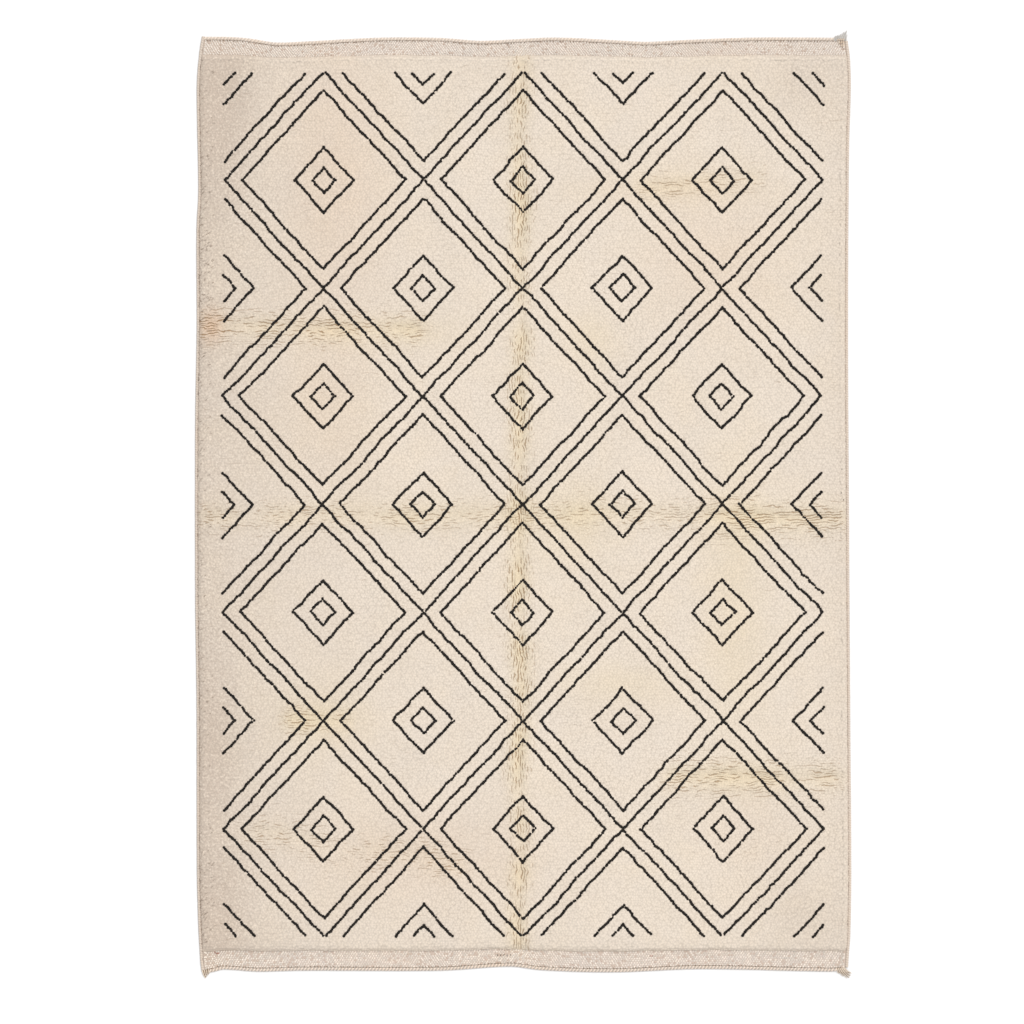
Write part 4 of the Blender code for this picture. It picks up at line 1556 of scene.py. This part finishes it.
@dataclass
class Band:
    """The beady twined weave on one flat-woven end, and the stitches beside its cord."""

    lie: Lie
    end: End
    rows: BeadRows
    bead_pitch: float = 0.0081
    bead_width: float = 0.0056
    bead_height: float = 0.0032
    bead_sides: int = 5
    stagger: float = 0.25
    slant: float = math.radians(52)
    slant_jitter: float = 0.14
    tilt_jitter: float = 0.08
    turn_size: float = 0.35
    turn_seed: float = 4.0
    turn_level: float = 0.05
    size_range: tuple[float, float] = (0.85, 1.15)
    size_share: float = 0.1
    size_wave: float = 0.4
    size_seed: float = 9.0
    jitter: float = 0.0005
    sewn_share: float = 0.85
    seed: int = 23

    def build(self, tree: NodeTree, beaded: Material, thread: Material) -> list[Thing]:
        """Plants the beads and the stitches."""
        return [self.beads(tree, beaded), self.stitches(tree, thread)]

    def beads(self, tree: NodeTree, beaded: Material) -> Thing:
        """The rows of beads between the pile and the cord."""
        lie, rng = self.lie, np.random.default_rng(self.seed + self.end)
        pile_edge = lie.pile_head if self.end is End.HEAD else -lie.pile_foot
        width = lie.body_end - pile_edge
        rows = round(width / self.rows.pitch)
        depths = (np.arange(rows) + 0.5) * width / rows
        count = round(2 * lie.body_side / self.bead_pitch)
        xs = (np.arange(count) + 0.5) * 2 * lie.body_side / count - lie.body_side
        x, depth = (values.ravel() for values in np.meshgrid(xs, depths))
        y = self.end * (pile_edge + depth)
        turned = noise_at(x, np.zeros_like(x), self.turn_size, self.turn_seed + self.end) > self.turn_level
        slant = np.where(turned, -1, 1) * self.slant + rng.normal(0, self.slant_jitter, len(x))
        odd = np.round(depth * rows / width - 0.5) % 2 == 1
        x = x + self.bead_pitch * self.stagger * np.where(odd, 1, -1)
        x = np.clip(x, self.bead_width - lie.body_side, lie.body_side - self.bead_width)
        x = x + rng.normal(0, self.jitter, len(x))
        y = y + rng.normal(0, self.jitter, len(x)) + lie.edge_shift(x, y)
        rise = lie.band_height - self.bead_height / 4
        patchy = noise_at(x, np.zeros_like(x), self.size_wave, self.size_seed + self.end)
        scale = rng.uniform(*self.size_range, len(x)) * (1 + self.size_share * patchy)
        tilt = rng.normal(0, self.tilt_jitter, len(x))
        carried = {
            "lean": np.stack([np.cos(slant), np.sin(slant), tilt], axis=-1),
            "spin": slant,
            "size": np.stack([scale * self.bead_height / 2, scale * self.bead_width / 2, scale], axis=-1),
            "tone": rng.uniform(0, 1, len(x)),
            "tint": lie.tints(x, y),
        }
        half = self.rows.bead_length / 2
        values = {"Sides": self.bead_sides, "Crown": half, "Root": half, "Finish": beaded}
        name = f"band_weave_{self.end.word}"
        piece = grown(name, carrier_of_points(name, lie.placed(x, y, rise), carried), tree, values)
        map_from_above(piece)
        return piece

    def stitches(self, tree: NodeTree, thread: Material) -> Thing:
        """The stitches that hold the cord to the weave."""
        lie, rng = self.lie, np.random.default_rng(self.seed + 2 * self.end)
        x = CORD_SEWING.along(lie.body_side, rng)
        x = x[rng.uniform(0, 1, len(x)) < self.sewn_share]
        y = CORD_SEWING.across(self.end * (lie.body_end + CORD_SEWING.outside), len(x), rng)
        heading = rng.normal(CORD_SEWING.slant * self.end, CORD_SEWING.slant_jitter, len(x))
        points = lie.placed(x, y, np.full(len(x), lie.band_height + CORD_SEWING.lift))
        return CORD_SEWING.sewn(f"cord_stitches_{self.end.word}", points, heading, rng, tree, thread)


@dataclass
class EndCord:
    """The twisted two-ply cord that closes one flat-woven end."""

    lie: Lie
    end: End
    left_gap: float
    right_gap: float
    height: float = 0.008
    ply_radius: float = 0.0028
    ply_sides: int = 5
    ply_room: float = 1.15
    turn_length: float = 0.0106
    steps: int = 8
    unevenness: float = 0.12
    spacing: float = 0.02

    def build(self, tree: NodeTree, wool: Material) -> Thing:
        """Twists the cord along its edge."""
        lie = self.lie
        low, high = -lie.width / 2 + self.left_gap, lie.width / 2 - self.right_gap
        x = np.linspace(low, high, round((high - low) / self.spacing))
        y = np.full(len(x), self.end * ((lie.length - lie.end_cord_width) / 2 - lie.gap))
        line = lie.placed(x, y, np.full(len(x), self.height / 2))
        values = {
            "Step": self.turn_length / self.steps,
            "Sides": self.ply_sides,
            "Radius": self.ply_radius,
            "Turn Length": self.turn_length,
            "Swing Across": lie.end_cord_width / 2 + lie.gap - self.ply_radius,
            "Swing Up": self.height / 2 - self.ply_room * self.ply_radius,
            "Unevenness": self.unevenness,
            "Middle Height": self.height / 2,
            "Finish": wool,
        }
        name = f"twisted_cord_{self.end.word}"
        return grown(name, carrier_of_lines(name, [line]), tree, values)


@dataclass
class SideCord:
    """The overcast cord along one long edge, with the stitches between it and the pile."""

    lie: Lie
    side: Side
    foot_gap: float
    head_gap: float
    sewn_share: float
    height: float = 0.007
    sides: int = 8
    squash: float = 2.3
    turn_length: float = 0.0075
    ridge: float = 0.05
    unevenness: float = 0.10
    spacing: float = 0.02
    patch_share: float = 0.7
    patch_size: float = 0.2
    patch_seed: float = 2.0
    seed: int = 37

    def build(self, wrap: NodeTree, plant: NodeTree, wool: Material, thread: Material) -> list[Thing]:
        """Wraps the cord and sews its stitches."""
        return [self.wrapped(wrap, wool), self.stitches(plant, thread)]

    def wrapped(self, tree: NodeTree, wool: Material) -> Thing:
        """The wrapped cord itself."""
        lie = self.lie
        low, high = -lie.length / 2 + self.foot_gap, lie.length / 2 - self.head_gap
        y = np.linspace(low, high, round((high - low) / self.spacing))
        x = np.full(len(y), self.side * ((lie.width - lie.side_cord_width) / 2 - lie.gap))
        line = lie.placed(x, y, np.full(len(x), self.height / 2))
        radius = lie.side_cord_width / 2 + lie.gap
        values = {
            "Step": self.turn_length / 2,
            "Sides": self.sides,
            "Radius": radius,
            "Turn Length": self.turn_length,
            "Ridge": self.ridge,
            "Unevenness": self.unevenness,
            "Middle Height": self.height / 2,
            "Flatness": self.height / (self.squash * radius),
            "Finish": wool,
        }
        name = f"wrapped_cord_{self.side.word}"
        return grown(name, carrier_of_lines(name, [line]), tree, values)

    def stitches(self, tree: NodeTree, thread: Material) -> Thing:
        """The stitches between the cord and the pile."""
        lie, rng = self.lie, np.random.default_rng(self.seed + self.side)
        y = EDGE_SEWING.along(lie.body_end, rng)
        drawn = rng.uniform(0, 1, len(y))
        patchy = noise_at(y, np.zeros_like(y), self.patch_size, self.patch_seed + self.side)
        y = y[drawn < self.sewn_share * (1 + self.patch_share * patchy)]
        x = EDGE_SEWING.across(self.side * (lie.body_side + EDGE_SEWING.outside), len(y), rng)
        slant = rng.normal(EDGE_SEWING.slant * self.side, EDGE_SEWING.slant_jitter, len(y))
        points = lie.placed(x, y, np.full(len(x), lie.rim_height + EDGE_SEWING.lift))
        name = f"edge_stitches_{self.side.word}"
        return EDGE_SEWING.sewn(name, points, math.pi / 2 + slant, rng, tree, thread)


@dataclass
class CornerTuft:
    """Loose warp yarns at one corner, which lie over the corner and fan out on the floor."""

    lie: Lie
    side: Side
    end: End
    width: float
    strands: tuple[Strand, ...]
    depth: float = TUFT_DEPTH
    height: float = 0.0065
    yarn_radius: float = 0.0017
    yarn_sides: int = 6
    swing: float = 0.0006
    step: float = 0.002
    turn_length: float = 0.011
    unevenness: float = 0.2
    thin_share: float = 0.55
    thin_sides: int = 4
    tip_radius_loss: float = 0.60
    length_range: tuple[float, float] = (0.85, 1.0)
    curl: float = 0.0012
    curl_turns: tuple[float, float] = (3.0, 6.0)
    splay: float = 0.6
    points_over: int = 5
    points_out: int = 8
    shoulder_share: float = 0.25
    shoulder_turn: float = 0.75
    floor_share: float = 1.25
    fall_length: float = 0.016
    fall_bend: float = 1.5
    seed: int = 51

    @property
    def corner(self) -> str:
        """Which corner of the rug this is."""
        return f"{self.end.word}_{self.side.word}"

    def build(self, tree: NodeTree, yarn: Material, thin_yarn: Material) -> list[Thing]:
        """Lays one thick yarn for each strand and a thin one between each two.

        Args:
            tree: The tree that twists yarn.
            yarn: The wool of the thick yarns.
            thin_yarn: The wool of the thin yarns.

        Returns:
            The thick yarns and the thin yarns.
        """
        rng = np.random.default_rng(self.seed + 3 * self.side + self.end)
        pitch = self.width / len(self.strands)
        low = self.lie.width / 2 - self.width if self.side is Side.RIGHT else -self.lie.width / 2
        thick = [self.line(rng, strand, low + pitch * (i + 0.5)) for i, strand in enumerate(self.strands)]
        # where the thin yarns are dark, they are painted shade in the gaps between the thick yarns
        between = []
        for i, (strand, after) in enumerate(zip(self.strands, self.strands[1:]), start=1):
            middle = Strand(min(strand.length, after.length), (strand.turn + after.turn) / 2)
            between.append(self.line(rng, middle, low + pitch * i))
        values = {
            "Step": self.step,
            "Sides": self.yarn_sides,
            "Radius": self.yarn_radius,
            "Turn Length": self.turn_length,
            "Swing Across": self.swing,
            "Swing Up": self.swing,
            "Taper": self.tip_radius_loss,
            "Unevenness": self.unevenness,
            "Middle Height": 0.0,
            "Finish": yarn,
        }
        thin_radius = self.yarn_radius * self.thin_share
        thin = values | {"Sides": self.thin_sides, "Radius": thin_radius, "Finish": thin_yarn}
        return [
            grown(name, carrier_of_lines(name, lines), tree, sizes)
            for name, lines, sizes in (
                (f"loose_yarn_{self.corner}", thick, values),
                (f"thin_yarn_{self.corner}", between, thin),
            )
        ]

    def line(self, rng: np.random.Generator, strand: Strand, root_x: float) -> Numbers:
        """The middle line of one yarn.

        Args:
            rng: Where its curl comes from.
            strand: The strand that it stands for.
            root_x: Where its root is across the rug.

        Returns:
            Its points as they lie.
        """
        length = strand.length * rng.uniform(*self.length_range)
        heading = self.end * math.pi / 2 + strand.turn
        root_y = self.end * (self.lie.length / 2 - self.depth)
        edge_y = self.end * self.lie.length / 2
        over = np.linspace(0, 1, self.points_over)
        out = np.linspace(0, 1, self.points_out)[1:]
        curl = self.curl * np.sin(out * rng.uniform(*self.curl_turns) + rng.uniform(0, math.tau)) * out
        turned = np.array([math.cos(heading), math.sin(heading)])
        side = np.array([-turned[1], turned[0]])
        drawn_in = self.splay * (1 - over) * abs(edge_y - root_y) / math.tan(heading) * self.end
        over_y = root_y + (edge_y - root_y) * over
        x = np.concatenate([root_x - drawn_in, root_x + out * length * turned[0] + curl * side[0]])
        y = np.concatenate([over_y, edge_y + out * length * turned[1] + curl * side[1]])
        top = self.height - self.yarn_radius
        floor = self.floor_share * (self.yarn_radius + self.swing)
        shoulder = 1 - self.shoulder_share + self.shoulder_share * np.sin(over * math.pi * self.shoulder_turn)
        fall = np.clip(1 - out * length / self.fall_length, 0, 1) ** self.fall_bend
        return self.lie.placed(x, y, np.concatenate([top * shoulder, floor + (top - floor) * fall]))


class Thread(NamedTuple):
    """One short thread that lies on the rug: its middle, its heading and its length."""

    x: float
    y: float
    heading: float
    length: float


@dataclass
class StrayThreads:
    """A few short threads of another colour, caught in the weave and the pile."""

    lie: Lie
    name: str
    threads: tuple[Thread, ...]
    lift: float = 0.0006
    radius: float = 0.0012
    sides: int = 6
    tones: tuple[float, float] = (0.3, 0.7)

    def build(self, tree: NodeTree, thread: Material) -> Thing:
        """Lays the threads on the rug."""
        x, y, heading, length = np.array(self.threads).T
        level = self.lie.height(x, y) + self.lift
        carried = {
            "lean": level_ways(heading),
            "spin": heading,
            "size": np.column_stack([np.full((len(x), 2), self.radius), length / 2]),
            "tone": np.linspace(*self.tones, len(x)),
        }
        values = {"Sides": self.sides, "Crown": 1.0, "Root": 1.0, "Finish": thread}
        points = self.lie.placed(x, y, level)
        return grown(self.name, carrier_of_points(self.name, points, carried), tree, values)


@dataclass
class Studio:
    """The floor, the light and the camera, which looks straight down."""

    picture_width: float = 3.1898
    centre: tuple[float, float] = (-0.0361, -0.0251)
    distance: float = 8.0
    sensor: float = 36.0
    far: float = 200.0
    floor_size: float = 60.0
    floor_drop: float = 0.0002
    floor_colour: Colour = (0.90, 0.90, 0.90)
    floor_roughness: float = 0.9
    sky_colour: Colour = (1.0, 1.0, 1.0)
    sky: float = 0.84
    sun: float = 1.60
    sun_angle: float = math.radians(38)
    sun_softness: float = math.radians(35)
    sun_turn: float = math.radians(-40)

    def build(self) -> None:
        """Sets up the floor, the light and the camera."""
        self.add_floor()
        self.add_light()
        self.add_camera()
        bpy.context.scene.view_settings.view_transform = "Standard"

    def add_floor(self) -> None:
        """A plain pale floor just under the rug."""
        mesh = bpy.data.meshes.new("floor")
        bm = bmesh.new()
        bmesh.ops.create_grid(bm, x_segments=1, y_segments=1, size=self.floor_size / 2)
        bm.to_mesh(mesh)
        bm.free()
        floor = in_scene("floor", mesh)
        floor.location.z = -self.floor_drop
        material = bpy.data.materials.new("floor")
        material.use_nodes = True
        shader = material.node_tree.nodes["Principled BSDF"]
        shader.inputs["Base Color"].default_value = opaque(self.floor_colour)
        shader.inputs["Roughness"].default_value = self.floor_roughness
        mesh.materials.append(material)
        floor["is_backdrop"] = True

    def add_light(self) -> None:
        """A bright even sky and one broad soft lamp from the upper left."""
        world = bpy.data.worlds.new("studio")
        bpy.context.scene.world = world
        world.use_nodes = True
        background = world.node_tree.nodes["Background"]
        background.inputs["Color"].default_value = opaque(self.sky_colour)
        background.inputs["Strength"].default_value = self.sky
        lamp = bpy.data.lights.new("soft_lamp", "SUN")
        lamp.energy = self.sun
        lamp.angle = self.sun_softness
        holder = in_scene("soft_lamp", lamp)
        holder.rotation_euler = (self.sun_angle, 0.0, self.sun_turn + math.pi)

    def add_camera(self) -> None:
        """A long lens over the rug."""
        lens = bpy.data.cameras.new("camera")
        lens.sensor_width = self.sensor
        lens.lens = self.sensor * self.distance / self.picture_width
        lens.clip_end = self.far
        camera = in_scene("camera", lens)
        camera.location = (*self.centre, self.distance)
        bpy.context.scene.camera = camera


HEAD_STRANDS = (
    Strand(0.006, -0.60),
    Strand(0.009, -0.60),
    Strand(0.014, -0.62),
    Strand(0.023, -0.66),
    Strand(0.031, -0.60),
    Strand(0.024, -0.44),
    Strand(0.010, -0.40),
)
FOOT_STRANDS = (
    Strand(0.009, 0.50),
    Strand(0.022, 0.58),
    Strand(0.030, 0.66),
    Strand(0.031, 0.74),
    Strand(0.025, 0.84),
    Strand(0.017, 1.00),
)
POINT_STRANDS = (
    Strand(0.016, 0.12),
    Strand(0.013, 0.02),
    Strand(0.008, -0.10),
    Strand(0.004, -0.25),
)
RUST_THREADS = (
    Thread(-0.968, -1.392, 2.20, 0.014),
    Thread(-0.958, -1.398, 0.15, 0.016),
    Thread(0.400, -1.404, 0.05, 0.013),
)
SOOT_THREADS = (
    Thread(-0.080, -1.409, 1.45, 0.006),
    Thread(-0.070, -1.410, 1.65, 0.007),
    Thread(-0.060, -1.409, 1.50, 0.006),
    Thread(-0.050, -1.411, 1.70, 0.007),
    Thread(-0.040, -1.409, 1.55, 0.006),
    Thread(0.996, 0.014, 1.30, 0.006),
    Thread(0.990, 0.036, 1.80, 0.005),
    Thread(0.992, 0.110, 1.50, 0.005),
)
LOOPS = (
    Thread(0.9840, 1.4420, 1.05, 0.0100),
    Thread(0.9900, 1.4425, 1.00, 0.0110),
    Thread(0.9960, 1.4420, 1.10, 0.0100),
    Thread(1.0020, 1.4420, 1.05, 0.0105),
    Thread(0.9880, 1.4335, 1.00, 0.0110),
    Thread(0.9940, 1.4340, 1.05, 0.0120),
    Thread(1.0000, 1.4335, 0.95, 0.0110),
    Thread(0.9930, 1.4250, 1.10, 0.0100),
    Thread(0.9990, 1.4255, 1.00, 0.0110),
)
HEAD_TUFT_WIDTH = 0.042
FOOT_TUFT_WIDTH = 0.036
POINT_TUFT_WIDTH = 0.024


class Crowd(NamedTuple):
    """A place along the left rim where its hairs stand close together."""

    along: float
    reach: float


@dataclass(frozen=True)
class RimHairs:
    """The short slanted hairs along the left rim of the pile, which crowd at two places."""

    count: int = 700
    foot_margin: float = 0.07
    head_margin: float = 0.06
    crowds: tuple[Crowd, ...] = (Crowd(0.78, 0.25), Crowd(-1.24, 0.16))
    least_share: float = 0.22
    reach: float = 0.045
    gathering: float = 1.5
    heading: float = 0.55
    heading_jitter: float = 0.22
    lengths: tuple[float, float] = (0.006, 0.013)
    seed: int = 71

    def threads(self, lie: Lie) -> tuple[Thread, ...]:
        """The hairs, as they lie on this rug."""
        rng = np.random.default_rng(self.seed)
        y = rng.uniform(-lie.body_end + self.foot_margin, lie.body_end - self.head_margin, self.count)
        crowd = sum(np.exp(-(((y - place.along) / place.reach) ** 2)) for place in self.crowds)
        y = y[rng.uniform(0, 1, len(y)) < self.least_share + (1 - self.least_share) * crowd]
        x = -lie.body_side + rng.uniform(0, 1, len(y)) ** self.gathering * self.reach
        heading = rng.normal(self.heading, self.heading_jitter, len(y))
        length = rng.uniform(*self.lengths, len(y))
        return tuple(Thread(*row) for row in zip(x, y, heading, length))


def report(piece: Thing) -> None:
    """Logs a finished piece with its number of triangles."""
    piece.data.calc_loop_triangles()
    LOG.info("%s: %d triangles", piece.name, len(piece.data.loop_triangles))


def settle(pieces: list[Thing], nodes: tuple[str, ...] = ()) -> None:
    """Lets pieces ride on the rug, logs their triangles, and hides the solids that they stand for."""
    for piece in pieces:
        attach(piece, BODY)
        report(piece)
    if nodes:
        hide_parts(*nodes)


def main() -> None:
    """Builds the rug and the studio round it."""
    logging.basicConfig(level=logging.INFO, format="%(name)s: %(message)s")
    Studio().build()
    for group in (WoolTone(), FibreRelief(), Streaks()):
        group.build()
    lie = Lie()
    tufted, plant = planting_tree(capped=True), planting_tree(capped=False)
    plain, twisted = yarn_tree(1), yarn_tree(2)
    thread = STITCH.material()

    cloth = Cloth(lie).build(BED.material(), WEAVE.material())
    settle([cloth], ("rug",))
    pile = Pile(lie).build(tufted, IVORY.material(), DARK.material())
    settle(pile[:-1])
    settle(pile[-1:])

    yarn = YARN.material()
    edges = {Side.LEFT: LEFT_EDGE.material(), Side.RIGHT: EDGE.material()}
    bands = []
    for end, rows in BEAD_ROWS.items():
        weave, stitches = Band(lie, end, rows).build(plant, rows.wool.material(), thread)
        settle([weave])
        settle([stitches])
        bands += [weave, stitches]
    beside_cord = lie.side_cord_width + lie.gap
    beside_tuft = TUFT_DEPTH + lie.gap
    beside_head_tuft = HEAD_TUFT_WIDTH + lie.gap
    beside_foot_tuft = FOOT_TUFT_WIDTH + lie.gap
    beside_point_tuft = POINT_TUFT_WIDTH + lie.gap
    cords = [
        EndCord(lie, End.HEAD, beside_cord, beside_head_tuft).build(twisted, CORD.material()),
        EndCord(lie, End.FOOT, beside_point_tuft, beside_foot_tuft).build(twisted, FOOT_CORD.material()),
    ]
    settle(cords[:1], ("end_cord_head",))
    settle(cords[1:], ("end_cord_foot",))
    for side, head_gap, sewn_share in ((Side.LEFT, 0.0, 0.55), (Side.RIGHT, beside_tuft, 0.12)):
        cord = SideCord(lie, side, beside_tuft, head_gap, sewn_share)
        wrapped, stitches = cord.build(plain, plant, edges[side], thread)
        settle([wrapped], (f"side_cord_{side.word}",))
        settle([stitches])
        cords += [wrapped, stitches]
    pale = PALE_YARN.material()
    yarns = []
    for tuft, wools in (
        (CornerTuft(lie, Side.RIGHT, End.HEAD, HEAD_TUFT_WIDTH, HEAD_STRANDS), (pale, pale)),
        # dark thread as thin yarns: painted shade between the thick yarns
        (CornerTuft(lie, Side.RIGHT, End.FOOT, FOOT_TUFT_WIDTH, FOOT_STRANDS), (yarn, thread)),
        (CornerTuft(lie, Side.LEFT, End.FOOT, POINT_TUFT_WIDTH, POINT_STRANDS), (yarn, thread)),
    ):
        made = tuft.build(twisted, *wools)
        settle(made, (f"tuft_{tuft.corner}",))
        yarns += made

    hairs = RimHairs().threads(lie)
    hair_sizes = {"lift": 0.0004, "radius": 0.0006, "sides": 4}
    threads = [
        StrayThreads(lie, "rust_threads", RUST_THREADS).build(plant, RUST.material()),
        StrayThreads(lie, "dark_threads", SOOT_THREADS).build(plant, SOOT.material()),
        StrayThreads(lie, "corner_loops", LOOPS, lift=0.0022, radius=0.0022).build(plant, LOOP.material()),
        StrayThreads(lie, "rim_hairs", hairs, **hair_sizes).build(plant, HAIR.material()),
    ]
    settle(threads)

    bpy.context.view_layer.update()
    total = sum(len(p.data.loop_triangles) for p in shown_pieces() if p.type == "MESH")
    LOG.info("%d triangles in all", total)


if __name__ == "__main__":
    main()
